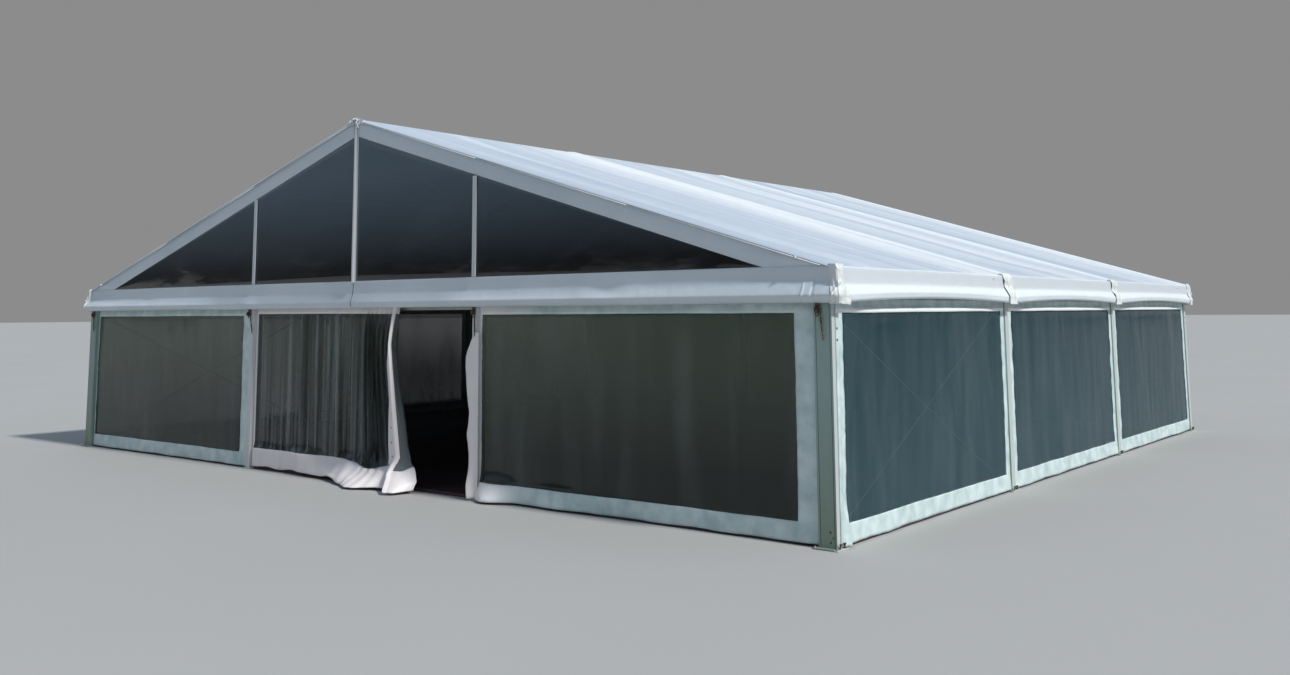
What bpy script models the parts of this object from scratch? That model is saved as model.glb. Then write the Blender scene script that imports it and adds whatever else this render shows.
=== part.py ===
"""A clear-span marquee tent: a white roof on aluminium portal frames, with clear walls.

Metres, +Z up. The origin is the middle of the footprint on the ground, the front
gable faces -Y and the three bays follow one another along +Y.
"""

import math

import bmesh
import bpy
from mathutils import Matrix, Vector

# Frame: sizes that can each be set by themselves
SPAN = 15.0
BAY = 4.5
BAY_COUNT = 3
EAVE_HEIGHT = 2.71
RIDGE_RISE = 2.304
EAVE_OVERHANG = 0.072
PROFILE_DEPTH = 0.203
PROFILE_WIDTH = 0.112
UPRIGHT_X = 2.45
UPRIGHT_DEPTH = 0.166
UPRIGHT_WIDTH = 0.088
KEDER_RIB_WIDTH = 0.02
KEDER_RIB_HEIGHT = 0.014
KEDER_DEPTH = 0.010
KEDER_INSET = 0.024
BASE_PLATE_LENGTH = 0.28
BASE_PLATE_WIDTH = 0.24
BASE_PLATE_THICKNESS = 0.012
UPRIGHT_PLATE_SIDE = 0.18

# Beams between the frames
RIDGE_BEAM_WIDTH = 0.10
RIDGE_BEAM_HEIGHT = 0.18
PURLIN_WIDTH = 0.08
PURLIN_HEIGHT = 0.12
PURLIN_TOP_DROP = 0.204
GABLE_BEAM_DEPTH = 0.06
KING_POST_WIDTH = 0.10
KING_POST_DEPTH = 0.04
KING_POST_LAP = 0.02

# Bracing cables of the first bay
CABLE_DIAMETER = 0.012
CABLE_SIDES = 6
CABLE_PLANE_INSET = 0.10
LUG_LENGTH = 0.06
LUG_THICKNESS = 0.014
LUG_WIDTH = 0.03
LUG_DROP = 0.06
LUG_BOTTOM = 0.06

# Membranes
SHEET = 0.006
PANE = 0.004
VALANCE_DROP = 0.355
VALANCE_SCALLOP = 0.05
SCALLOP_STATIONS = 8
GABLE_SILL_RISE = 0.018
RAKE_BORDER = 0.246
WALL_BOTTOM = 0.02
WALL_TOP_LAP = 0.058
WINDOW_TOP_BORDER = 0.095
WINDOW_SILL = 0.22
SIDE_BORDER = 0.128
FRONT_LEFT_BORDER = 0.04
FRONT_RIGHT_BORDER = 0.25
MIDDLE_SLIT = 0.003

# Doorway curtain, drawn to the left, and the narrow flap opposite it
CURTAIN_EDGE_X = 0.87
CURTAIN_BOTTOM = 0.14
CURTAIN_FOLDS = 9
CURTAIN_FOLD_DEPTH = 0.032
CURTAIN_STEPS = 72
CURTAIN_STRAIGHT = 0.03
FLAP_WIDTH = 0.15
FLAP_TOP_DROP = 0.39

# Floor inside the walls
FLOOR_THICKNESS = 0.04

# Clearance between touching pieces, and how far a cutter stands past what it cuts
GAP = 0.0003
CUT_THROUGH = 0.05

# Values that follow from those above
HALF_SPAN = SPAN / 2
RIDGE_HEIGHT = EAVE_HEIGHT + RIDGE_RISE
EAVE_X = HALF_SPAN + EAVE_OVERHANG
SLOPE = RIDGE_RISE / EAVE_X
PITCH = math.atan(SLOPE)
UP_SLOPE = 1 / math.cos(PITCH)
HALF_WIDTH = PROFILE_WIDTH / 2
HALF_DEPTH = PROFILE_DEPTH / 2
LEG_X = HALF_SPAN - HALF_DEPTH
LEG_INNER_X = HALF_SPAN - PROFILE_DEPTH
FRAME_YS = [(index - BAY_COUNT / 2) * BAY for index in range(BAY_COUNT + 1)]
HALF_LENGTH = BAY_COUNT * BAY / 2
FACE_Y = HALF_LENGTH + HALF_WIDTH
SIDE_WALL_X = HALF_SPAN - KEDER_INSET
SLOT_WIDTH = SHEET + 2 * GAP
TUCK = KEDER_DEPTH - GAP
RIDGE_END_X = RIDGE_BEAM_WIDTH / 2 + GAP
PURLIN_OUTER_X = SIDE_WALL_X - SHEET / 2 - GAP
PURLIN_INNER_X = PURLIN_OUTER_X - PURLIN_WIDTH
GABLE_BEAM_END_X = PURLIN_INNER_X - GAP
GABLE_BEAM_FRONT = HALF_LENGTH - HALF_WIDTH - GAP
GABLE_BEAM_BACK = GABLE_BEAM_FRONT - GABLE_BEAM_DEPTH
UPRIGHT_HALF_WIDTH = UPRIGHT_WIDTH / 2
UPRIGHT_Y = FACE_Y - UPRIGHT_DEPTH / 2
GABLE_SILL = EAVE_HEIGHT + GABLE_SILL_RISE
KING_BOTTOM = GABLE_SILL - KING_POST_LAP
KING_SIDE_X = KING_POST_WIDTH / 2 + GAP
VALANCE_BOTTOM = EAVE_HEIGHT - VALANCE_DROP
WALL_TOP = VALANCE_BOTTOM + WALL_TOP_LAP
WINDOW_TOP = VALANCE_BOTTOM - WINDOW_TOP_BORDER
PURLIN_TOP = EAVE_HEIGHT - PURLIN_TOP_DROP
PURLIN_BOTTOM = PURLIN_TOP - PURLIN_HEIGHT
LUG_TOP = PURLIN_BOTTOM - LUG_DROP
FLAP_TOP = VALANCE_BOTTOM - FLAP_TOP_DROP


def roof_z(x):
    """Height of the cover's outer face, x metres from the ridge."""
    return RIDGE_HEIGHT - SLOPE * abs(x)


def rafter_top_z(x):
    """Height of the rafters' upper face, just under the cover."""
    return roof_z(x) - (SHEET + GAP) * UP_SLOPE


def rafter_soffit_z(x):
    """Height of the rafters' lower face."""
    return rafter_top_z(x) - PROFILE_DEPTH * UP_SLOPE


KNEE_OUTER = Vector((HALF_SPAN, rafter_top_z(HALF_SPAN)))
KNEE_INNER = Vector((LEG_INNER_X, rafter_soffit_z(LEG_INNER_X)))
KNEE_SLOPE = (KNEE_OUTER.y - KNEE_INNER.y) / (KNEE_OUTER.x - KNEE_INNER.x)
KNEE_GAP = GAP * math.hypot(1, KNEE_SLOPE)


def knee_z(x):
    """Height of the cut between a leg and its rafter."""
    return KNEE_INNER.y + KNEE_SLOPE * (x - KNEE_INNER.x)


def clear_scene():
    """Empties the scene of objects."""
    for item in list(bpy.data.objects):
        bpy.data.objects.remove(item, do_unlink=True)


def make_material(name, colour, roughness, metallic=0.0, alpha=1.0):
    """A Principled material with one colour."""
    material = bpy.data.materials.new(name)
    material.use_nodes = True
    shader = material.node_tree.nodes["Principled BSDF"]
    shader.inputs["Base Color"].default_value = (*colour, 1.0)
    shader.inputs["Roughness"].default_value = roughness
    shader.inputs["Metallic"].default_value = metallic
    shader.inputs["Alpha"].default_value = alpha
    material.diffuse_color = (*colour, alpha)
    return material


def add_object(name, mesh, material):
    """One named object in the scene."""
    item = bpy.data.objects.new(name, mesh)
    mesh.materials.clear()
    mesh.materials.append(material)
    bpy.context.scene.collection.objects.link(item)
    return item


def finish_mesh(name, bm):
    """Turns a bmesh with outward faces into a mesh."""
    bmesh.ops.recalc_face_normals(bm, faces=bm.faces)
    mesh = bpy.data.meshes.new(name)
    bm.to_mesh(mesh)
    bm.free()
    return mesh


def loft(name, rings):
    """A closed body through rings with the same number of points."""
    bm = bmesh.new()
    loops = [[bm.verts.new(point) for point in ring] for ring in rings]
    count = len(rings[0])
    for near, far in zip(loops, loops[1:]):
        for k in range(count):
            n = (k + 1) % count
            bm.faces.new((near[k], near[n], far[n], far[k]))
    bm.faces.new(loops[0])
    bm.faces.new(loops[-1])
    return finish_mesh(name, bm)


def place(axis, u, v, w):
    """A point from its outline coordinates u, v and its place w along the axis."""
    if axis == "X":
        return (w, u, v)
    if axis == "Y":
        return (u, w, v)
    return (u, v, w)


def prism(name, outline, low, high, axis):
    """An outline drawn across an axis, between two places along it."""
    return loft(name, [[place(axis, u, v, w) for u, v in outline] for w in (low, high)])


def box(name, low, high):
    """A plain block between two corners."""
    return prism(name, rectangle(low[0], high[0], low[1], high[1]), low[2], high[2], "Z")


def rectangle(u0, u1, v0, v1):
    """Four corners of a rectangle in order."""
    return [(u0, v0), (u1, v0), (u1, v1), (u0, v1)]


def window_frame(name, outer, inner, low, high, axis):
    """A flat ring: an outline with an opening that has as many corners."""
    bm = bmesh.new()
    rings = []
    for outline in (outer, inner):
        for w in (low, high):
            rings.append([bm.verts.new(place(axis, u, v, w)) for u, v in outline])
    outer_low, outer_high, inner_low, inner_high = rings
    count = len(outer)
    strips = [
        (outer_low, outer_high),
        (outer_high, inner_high),
        (inner_high, inner_low),
        (inner_low, outer_low),
    ]
    for first, second in strips:
        for k in range(count):
            n = (k + 1) % count
            bm.faces.new((first[k], first[n], second[n], second[k]))
    return finish_mesh(name, bm)


def mirrored(mesh, name):
    """The same mesh on the other side of the ridge."""
    bm = bmesh.new()
    bm.from_mesh(mesh)
    bmesh.ops.transform(bm, matrix=Matrix.Scale(-1, 4, (1, 0, 0)), verts=bm.verts)
    bmesh.ops.reverse_faces(bm, faces=bm.faces)
    return finish_mesh(name, bm)


def turned(mesh, name):
    """The same mesh turned half way round the middle of the tent."""
    bm = bmesh.new()
    bm.from_mesh(mesh)
    bmesh.ops.transform(bm, matrix=Matrix.Rotation(math.pi, 4, "Z"), verts=bm.verts)
    return finish_mesh(name, bm)


def combined(name, meshes, operation="UNION"):
    """The first mesh joined with the others, or cut by them, as one closed body."""
    body = bpy.data.objects.new(name, meshes[0])
    bpy.context.scene.collection.objects.link(body)
    tools = []
    for index, mesh in enumerate(meshes[1:]):
        tool = bpy.data.objects.new(f"{name}_tool_{index}", mesh)
        tool.hide_render = True
        tool.display_type = "WIRE"
        bpy.context.scene.collection.objects.link(tool)
        modifier = body.modifiers.new(f"step_{index}", "BOOLEAN")
        modifier.operation = operation
        modifier.solver = "EXACT"
        modifier.object = tool
        tools.append(tool)
    depsgraph = bpy.context.evaluated_depsgraph_get()
    result = bpy.data.meshes.new_from_object(body.evaluated_get(depsgraph))
    for item in [body, *tools]:
        bpy.data.objects.remove(item, do_unlink=True)
    result.name = name
    return result


def slot(at, face, inward):
    """Four points of a keder slot in a face: along the face, then across it."""
    half = SLOT_WIDTH / 2
    depth = face + inward * KEDER_DEPTH
    return [(at - half, face), (at - half, depth), (at + half, depth), (at + half, face)]


def slotted_outline(half_x, half_y, y_face_slots, low_x_slots, high_x_slots):
    """A rectangular tube's outline with keder slots in its faces."""
    points = [(-half_x, -half_y)]
    for at in sorted(y_face_slots):
        points += slot(at, -half_y, 1)
    points.append((half_x, -half_y))
    for at in sorted(high_x_slots):
        points += [(u, v) for v, u in slot(at, half_x, -1)]
    points.append((half_x, half_y))
    for at in sorted(y_face_slots, reverse=True):
        points += reversed(slot(at, half_y, -1))
    points.append((-half_x, half_y))
    for at in sorted(low_x_slots, reverse=True):
        points += [(u, v) for v, u in reversed(slot(at, -half_x, 1))]
    return points


def base_plate(name, centre_x, centre_y, length, width):
    """The steel plate that a post stands on."""
    low = (centre_x - length / 2, centre_y - width / 2, 0.0)
    high = (centre_x + length / 2, centre_y + width / 2, BASE_PLATE_THICKNESS)
    return box(name, low, high)


def post_body(name, outline, centre, top_z):
    """A post of a slotted profile, from inside its base plate to a sloping top."""
    points = [(centre[0] + u, centre[1] + v) for u, v in outline]
    bottom = [(x, y, BASE_PLATE_THICKNESS / 2) for x, y in points]
    top = [(x, y, top_z(x)) for x, y in points]
    return loft(name, [bottom, top])


def build_legs(material):
    """Eight legs, each with its base plate and the sloping cut of the knee joint."""
    edge = HALF_DEPTH - KEDER_INSET
    outline = slotted_outline(HALF_DEPTH, HALF_WIDTH, [-edge, edge], [0.0], [])
    post = post_body("leg", outline, (LEG_X, 0.0), lambda x: knee_z(x) - KNEE_GAP)
    plate = base_plate("leg_plate", LEG_X, 0.0, BASE_PLATE_LENGTH, BASE_PLATE_WIDTH)
    right = combined("leg_right", [plate, post])
    left = mirrored(right, "leg_left")
    for index, y in enumerate(FRAME_YS, start=1):
        for side, mesh in (("left", left), ("right", right)):
            leg = add_object(f"leg_{side}_{index}", mesh, material)
            leg.location.y = y


def rafter_point(y, height, end):
    """A point of a rafter's section at its ridge end or at its knee end."""
    offset = height * UP_SLOPE
    if end == "ridge":
        x = RIDGE_END_X
    else:
        run = rafter_top_z(0) + offset - KNEE_INNER.y + KNEE_SLOPE * KNEE_INNER.x
        x = run / (KNEE_SLOPE + SLOPE)
    return (x, y, rafter_top_z(x) + offset)


def rafter_section(rib):
    """A rafter's outline, with the middle of its rib that far from its own middle."""
    rib_low = rib - KEDER_RIB_WIDTH / 2
    rib_high = rib + KEDER_RIB_WIDTH / 2
    points = [(-HALF_WIDTH, -PROFILE_DEPTH), (HALF_WIDTH, -PROFILE_DEPTH)]
    if rib_high < HALF_WIDTH - GAP:
        points += [(HALF_WIDTH, 0.0), (rib_high, 0.0)]
    points += [(rib_high, KEDER_RIB_HEIGHT), (rib_low, KEDER_RIB_HEIGHT)]
    if rib_low > GAP - HALF_WIDTH:
        points += [(rib_low, 0.0), (-HALF_WIDTH, 0.0)]
    return points


def build_rafters(material):
    """Eight rafters, each with the rib that holds the edges of two covers."""
    for index, y in enumerate(FRAME_YS, start=1):
        section = rafter_section(rib_centre(index - 1) - y)
        rings = [[rafter_point(y + u, h, end) for u, h in section] for end in ("ridge", "knee")]
        right = loft(f"rafter_right_{index}", rings)
        add_object(f"rafter_left_{index}", mirrored(right, f"rafter_left_{index}"), material)
        add_object(f"rafter_right_{index}", right, material)


def rib_centre(frame):
    """Where a frame's keder rib lies: at the outer edge on the two gable frames."""
    half_rib = KEDER_RIB_WIDTH / 2
    if frame == 0:
        return -FACE_Y + half_rib
    if frame == BAY_COUNT:
        return FACE_Y - half_rib
    return FRAME_YS[frame]


def build_ridge_beam(material):
    """The beam along the ridge that the rafters meet."""
    half = RIDGE_BEAM_WIDTH / 2
    bottom = rafter_top_z(0) - RIDGE_BEAM_HEIGHT
    outline = [(-half, bottom), (half, bottom), (half, rafter_top_z(half)), (0.0, rafter_top_z(0)),
               (-half, rafter_top_z(half))]
    add_object("ridge_beam", prism("ridge_beam", outline, -FACE_Y, FACE_Y, "Y"), material)


def build_eave_purlins(material):
    """The tubes between the legs at the eaves, one for each bay and side."""
    for index in range(BAY_COUNT):
        y0 = FRAME_YS[index] + HALF_WIDTH + GAP
        y1 = FRAME_YS[index + 1] - HALF_WIDTH - GAP
        low = (PURLIN_INNER_X, y0, PURLIN_BOTTOM)
        high = (PURLIN_OUTER_X, y1, PURLIN_TOP)
        right = box(f"eave_purlin_right_{index + 1}", low, high)
        left = mirrored(right, f"eave_purlin_left_{index + 1}")
        add_object(f"eave_purlin_left_{index + 1}", left, material)
        add_object(f"eave_purlin_right_{index + 1}", right, material)


def upright_top_z(x):
    """Height of an upright's top, just under its rafter."""
    return rafter_soffit_z(x) - GAP * UP_SLOPE


def build_gable_frames(material):
    """At each gable two uprights, notched at the back for one level beam."""
    low = (-GABLE_BEAM_END_X, -GABLE_BEAM_FRONT, PURLIN_BOTTOM)
    high = (GABLE_BEAM_END_X, -GABLE_BEAM_BACK, PURLIN_TOP)
    front_beam = box("gable_beam_front", low, high)
    back_beam = turned(front_beam, "gable_beam_back")

    wall_slot = -HALF_LENGTH + UPRIGHT_Y
    outline = slotted_outline(UPRIGHT_HALF_WIDTH, UPRIGHT_DEPTH / 2, [], [wall_slot], [wall_slot])
    post = post_body("upright", outline, (UPRIGHT_X, -UPRIGHT_Y), upright_top_z)
    plate = base_plate("upright_plate", UPRIGHT_X, -UPRIGHT_Y, UPRIGHT_PLATE_SIDE, UPRIGHT_PLATE_SIDE)
    standing = combined("upright_standing", [plate, post])
    notch_half = UPRIGHT_HALF_WIDTH + CUT_THROUGH
    notch_back = UPRIGHT_DEPTH - FACE_Y + CUT_THROUGH
    notch_low = (UPRIGHT_X - notch_half, -HALF_LENGTH + HALF_WIDTH, PURLIN_BOTTOM - GAP)
    notch_high = (UPRIGHT_X + notch_half, notch_back, PURLIN_TOP + GAP)
    notch = box("upright_notch", notch_low, notch_high)
    front_right = combined("upright_front_right", [standing, notch], "DIFFERENCE")
    front_left = mirrored(front_right, "upright_front_left")

    add_object("gable_beam_front", front_beam, material)
    add_object("gable_beam_back", back_beam, material)
    add_object("upright_front_left", front_left, material)
    add_object("upright_front_right", front_right, material)
    add_object("upright_back_left", turned(front_right, "upright_back_left"), material)
    add_object("upright_back_right", turned(front_left, "upright_back_right"), material)


def build_king_post(material):
    """The aluminium strip down the middle of the front gable that both halves meet."""
    half = KING_POST_WIDTH / 2
    top = roof_z(half)
    outline = [(-half, KING_BOTTOM), (half, KING_BOTTOM), (half, top), (0.0, roof_z(0)), (-half, top)]
    front = -FACE_Y - GAP - KING_POST_DEPTH
    add_object("king_post", prism("king_post", outline, front, -FACE_Y - GAP, "Y"), material)


def rod(name, start, end, radius, sides):
    """A round bar of few sides between two points."""
    axis = Vector(end) - Vector(start)
    bm = bmesh.new()
    ends = {"radius1": radius, "radius2": radius, "cap_ends": True}
    bmesh.ops.create_cone(bm, segments=sides, depth=axis.length, **ends)
    turn = axis.to_track_quat("Z", "Y").to_matrix().to_4x4()
    middle = Matrix.Translation((Vector(start) + Vector(end)) / 2)
    bmesh.ops.transform(bm, matrix=middle @ turn, verts=bm.verts)
    return finish_mesh(name, bm)


def build_braces(material):
    """Crossed cables in the first bay of each side, with a lug on each leg."""
    x = HALF_SPAN - CABLE_PLANE_INSET
    near = FRAME_YS[0] + HALF_WIDTH + GAP
    far = FRAME_YS[1] - HALF_WIDTH - GAP
    half_lug = LUG_WIDTH / 2
    lugs = []
    anchors = {}
    for end, face, inward in (("near", near, 1), ("far", far, -1)):
        for level, z in (("top", LUG_TOP - LUG_LENGTH / 2), ("foot", LUG_BOTTOM + LUG_LENGTH / 2)):
            y0, y1 = sorted((face, face + inward * LUG_THICKNESS))
            low = (x - half_lug, y0, z - LUG_LENGTH / 2)
            high = (x + half_lug, y1, z + LUG_LENGTH / 2)
            lugs.append(box(f"lug_{end}_{level}", low, high))
            anchors[end, level] = (x, face + inward * LUG_THICKNESS / 2, z)
    radius = CABLE_DIAMETER / 2
    falling = rod("cable_falling", anchors["near", "top"], anchors["far", "foot"], radius, CABLE_SIDES)
    rising = rod("cable_rising", anchors["near", "foot"], anchors["far", "top"], radius, CABLE_SIDES)
    right = combined("brace_cables_right", [falling, rising, *lugs])
    add_object("brace_cables_left", mirrored(right, "brace_cables_left"), material)
    add_object("brace_cables_right", right, material)


def cover_ring(y, lift):
    """The section of a roof cover at one place, with its side valances cut lift higher."""
    bottom = VALANCE_BOTTOM + lift
    inner_x = EAVE_X - SHEET
    inner_eave = roof_z(inner_x) - SHEET * UP_SLOPE
    outer = [(EAVE_X, bottom), (EAVE_X, EAVE_HEIGHT)]
    inner = [(inner_x, inner_eave), (inner_x, bottom)]
    right = outer + [(0.0, RIDGE_HEIGHT)]
    left = [(-u, v) for u, v in reversed(outer)] + [(-u, v) for u, v in reversed(inner)]
    under = [(0.0, RIDGE_HEIGHT - SHEET * UP_SLOPE)] + inner
    return [(u, y, v) for u, v in right + left + under]


def build_covers(material):
    """One roof cover for each bay, over the ridge from valance to valance."""
    half_rib = KEDER_RIB_WIDTH / 2
    for index in range(BAY_COUNT):
        y0 = rib_centre(index) + half_rib + GAP
        y1 = rib_centre(index + 1) - half_rib - GAP
        rings = []
        for step in range(SCALLOP_STATIONS + 1):
            part = step / SCALLOP_STATIONS
            lift = VALANCE_SCALLOP * (1 - (2 * part - 1) ** 2)
            rings.append(cover_ring(y0 + part * (y1 - y0), lift))
        name = f"roof_cover_{index + 1}"
        add_object(name, loft(name, rings), material)


def build_side_walls(border_material, pane_material):
    """A white border and a clear pane in each side bay."""
    low_x = SIDE_WALL_X - SHEET / 2
    pane_x = SIDE_WALL_X - PANE / 2
    for index in range(BAY_COUNT):
        face0 = FRAME_YS[index] + HALF_WIDTH
        face1 = FRAME_YS[index + 1] - HALF_WIDTH
        outer = rectangle(face0 - TUCK, face1 + TUCK, WALL_BOTTOM, WALL_TOP)
        inner = rectangle(face0 + SIDE_BORDER, face1 - SIDE_BORDER, WINDOW_SILL, WINDOW_TOP)
        right = window_frame(f"wall_border_right_{index + 1}", outer, inner, low_x, low_x + SHEET, "X")
        add_object(f"wall_border_left_{index + 1}", mirrored(right, f"wall_border_left_{index + 1}"),
                   border_material)
        add_object(f"wall_border_right_{index + 1}", right, border_material)
        pane = prism(f"wall_window_right_{index + 1}", shrunk(inner), pane_x, pane_x + PANE, "X")
        add_object(f"wall_window_left_{index + 1}", mirrored(pane, f"wall_window_left_{index + 1}"),
                   pane_material)
        add_object(f"wall_window_right_{index + 1}", pane, pane_material)


def shrunk(outline):
    """A rectangle's corners moved in by the clearance."""
    (u0, v0), (u1, v1) = outline[0], outline[2]
    return rectangle(u0 + GAP, u1 - GAP, v0 + GAP, v1 - GAP)


def build_front_wall(border_material, pane_material):
    """The fixed panels left and right of the doorway bay, each with its wide border at the right."""
    low_y = -HALF_LENGTH - SHEET / 2
    pane_y = -HALF_LENGTH - PANE / 2
    upright_face = UPRIGHT_X + UPRIGHT_HALF_WIDTH
    bays = {"left": (-LEG_INNER_X, -upright_face), "right": (upright_face, LEG_INNER_X)}
    for side, (x0, x1) in bays.items():
        outer = rectangle(x0 - TUCK, x1 + TUCK, WALL_BOTTOM, WALL_TOP)
        inner = rectangle(x0 + FRONT_LEFT_BORDER, x1 - FRONT_RIGHT_BORDER, WINDOW_SILL, WINDOW_TOP)
        name = f"front_wall_border_{side}"
        add_object(name, window_frame(name, outer, inner, low_y, low_y + SHEET, "Y"), border_material)
        name = f"front_wall_window_{side}"
        add_object(name, prism(name, shrunk(inner), pane_y, pane_y + PANE, "Y"), pane_material)


def build_door(curtain_material, flap_material):
    """The curtain drawn to the left of the doorway, in deepening folds, and the flap opposite."""
    x0 = -UPRIGHT_X + UPRIGHT_HALF_WIDTH - TUCK
    length = CURTAIN_EDGE_X - x0
    centre = []
    for step in range(CURTAIN_STEPS + 1):
        x = x0 + length * step / CURTAIN_STEPS
        part = max(0.0, x - x0 - CURTAIN_STRAIGHT) / (length - CURTAIN_STRAIGHT)
        wave = math.sin(2 * math.pi * CURTAIN_FOLDS * part ** 1.3)
        centre.append(Vector((x, -HALF_LENGTH + CURTAIN_FOLD_DEPTH * math.sqrt(part) * wave)))
    front, back = [], []
    for k, point in enumerate(centre):
        along = centre[min(k + 1, CURTAIN_STEPS)] - centre[max(k - 1, 0)]
        across = Vector((-along.y, along.x)).normalized() * SHEET / 2
        front.append(tuple(point - across))
        back.append(tuple(point + across))
    curtain = prism("door_curtain", front + back[::-1], CURTAIN_BOTTOM, WALL_TOP, "Z")
    add_object("door_curtain", curtain, curtain_material)

    x1 = UPRIGHT_X - UPRIGHT_HALF_WIDTH
    low = (x1 - FLAP_WIDTH, -HALF_LENGTH - SHEET / 2, WALL_BOTTOM)
    high = (x1 + TUCK, -HALF_LENGTH + SHEET / 2, FLAP_TOP)
    add_object("door_flap", box("door_flap", low, high), flap_material)


def build_front_gable(border_material, pane_material):
    """Two halves that meet at the king post, each a white border round a clear triangle."""
    y1 = -FACE_Y - GAP
    y0 = y1 - SHEET
    border_top = KING_BOTTOM - GAP
    tip_x = (RIDGE_HEIGHT - RAKE_BORDER - GABLE_SILL) / SLOPE
    window_top = roof_z(KING_SIDE_X) - RAKE_BORDER
    outline = [
        (MIDDLE_SLIT, VALANCE_BOTTOM),
        (EAVE_X, VALANCE_BOTTOM),
        (EAVE_X, rafter_top_z(EAVE_X)),
        (KING_SIDE_X, rafter_top_z(KING_SIDE_X)),
        (KING_SIDE_X, window_top),
        (tip_x, GABLE_SILL),
        (KING_SIDE_X, GABLE_SILL),
        (KING_SIDE_X, border_top),
        (MIDDLE_SLIT, border_top),
    ]
    right = prism("gable_border_right", outline, y0, y1, "Y")
    add_object("gable_border_left", mirrored(right, "gable_border_left"), border_material)
    add_object("gable_border_right", right, border_material)

    rake_clear = GAP * UP_SLOPE
    pane_x = KING_SIDE_X
    pane_sill = GABLE_SILL + GAP
    pane_tip = tip_x - (GAP + rake_clear) / SLOPE
    pane_outline = [(pane_x, pane_sill), (pane_tip, pane_sill), (pane_x, window_top - rake_clear)]
    middle = (y0 + y1) / 2
    pane = prism("gable_window_right", pane_outline, middle - PANE / 2, middle + PANE / 2, "Y")
    add_object("gable_window_left", mirrored(pane, "gable_window_left"), pane_material)
    add_object("gable_window_right", pane, pane_material)


def build_back(material):
    """The plain back: one sheet over the wall and one over the gable."""
    y0 = FACE_Y + GAP
    wall = rectangle(-LEG_X, LEG_X, WALL_BOTTOM, VALANCE_BOTTOM - GAP)
    add_object("back_wall", prism("back_wall", wall, y0, y0 + SHEET, "Y"), material)
    top = rafter_top_z(EAVE_X)
    gable = [(-EAVE_X, VALANCE_BOTTOM), (EAVE_X, VALANCE_BOTTOM), (EAVE_X, top), (0.0, rafter_top_z(0)),
             (-EAVE_X, top)]
    add_object("back_gable", prism("back_gable", gable, y0, y0 + SHEET, "Y"), material)


def build_floor(material):
    """The floor inside the walls, cut round the base plates."""
    half_x = PURLIN_OUTER_X
    half_y = HALF_LENGTH - SHEET / 2 - GAP
    slab = box("floor_slab", (-half_x, -half_y, 0.0), (half_x, half_y, FLOOR_THICKNESS))
    plates = [(side * LEG_X, y, BASE_PLATE_LENGTH, BASE_PLATE_WIDTH) for side in (-1, 1) for y in FRAME_YS]
    for side in (-1, 1):
        for end in (-1, 1):
            plates.append((side * UPRIGHT_X, end * UPRIGHT_Y, UPRIGHT_PLATE_SIDE, UPRIGHT_PLATE_SIDE))
    cutters = bmesh.new()
    for x, y, length, width in plates:
        size = (length + 2 * GAP, width + 2 * GAP, 2 * (FLOOR_THICKNESS + CUT_THROUGH), 1.0)
        place_and_size = Matrix.Translation((x, y, 0.0)) @ Matrix.Diagonal(size)
        bmesh.ops.create_cube(cutters, size=1.0, matrix=place_and_size)
    cutter_mesh = finish_mesh("floor_cutters", cutters)
    add_object("floor", combined("floor", [slab, cutter_mesh], "DIFFERENCE"), material)


def main():
    clear_scene()
    aluminium = make_material("aluminium", (0.46, 0.50, 0.49), 0.42, metallic=0.85)
    steel = make_material("galvanised_steel", (0.50, 0.51, 0.52), 0.5, metallic=0.9)
    white = make_material("white_membrane", (0.84, 0.86, 0.90), 0.45)
    clear = make_material("clear_membrane", (0.16, 0.20, 0.21), 0.12, alpha=0.45)
    deck = make_material("floor_paint", (0.09, 0.045, 0.05), 0.7)

    build_legs(aluminium)
    build_rafters(aluminium)
    build_ridge_beam(aluminium)
    build_eave_purlins(aluminium)
    build_gable_frames(aluminium)
    build_king_post(aluminium)
    build_braces(steel)
    build_covers(white)
    build_side_walls(white, clear)
    build_front_wall(white, clear)
    build_door(white, white)
    build_front_gable(white, clear)
    build_back(white)
    build_floor(deck)


main()
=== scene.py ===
"""The looks of a clear-span marquee tent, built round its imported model.

Metres, +Z up. The front gable faces -Y, the ridge runs along Y.
"""

import math

import bmesh
import bpy
from mathutils import Matrix, Vector, noise


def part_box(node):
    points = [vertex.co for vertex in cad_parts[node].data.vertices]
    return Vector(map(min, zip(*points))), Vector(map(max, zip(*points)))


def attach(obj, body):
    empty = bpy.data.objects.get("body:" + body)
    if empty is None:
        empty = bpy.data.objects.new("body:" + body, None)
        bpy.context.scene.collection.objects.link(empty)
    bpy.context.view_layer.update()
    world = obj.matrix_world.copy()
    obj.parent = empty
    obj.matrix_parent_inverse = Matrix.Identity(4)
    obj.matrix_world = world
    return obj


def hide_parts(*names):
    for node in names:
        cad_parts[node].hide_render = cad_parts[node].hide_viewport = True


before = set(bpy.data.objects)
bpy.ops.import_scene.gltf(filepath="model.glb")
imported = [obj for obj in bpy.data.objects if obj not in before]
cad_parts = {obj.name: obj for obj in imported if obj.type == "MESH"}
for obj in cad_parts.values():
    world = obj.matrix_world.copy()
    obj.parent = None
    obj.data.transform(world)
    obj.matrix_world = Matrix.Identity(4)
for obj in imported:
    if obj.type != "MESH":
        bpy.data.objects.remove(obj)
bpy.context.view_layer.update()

# Sizes that the frame's boxes don't give by themselves
HALF_SPAN = 7.5
EAVE_Z = 2.71
PROFILE_DEPTH = 0.203
HALF_WIDTH = 0.056
UPRIGHT_HALF_WIDTH = 0.044
SLOT_TUCK = 0.0097
WALL_INSET = 0.024
CLOTH = 0.0012
FILM = 0.0008

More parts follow.
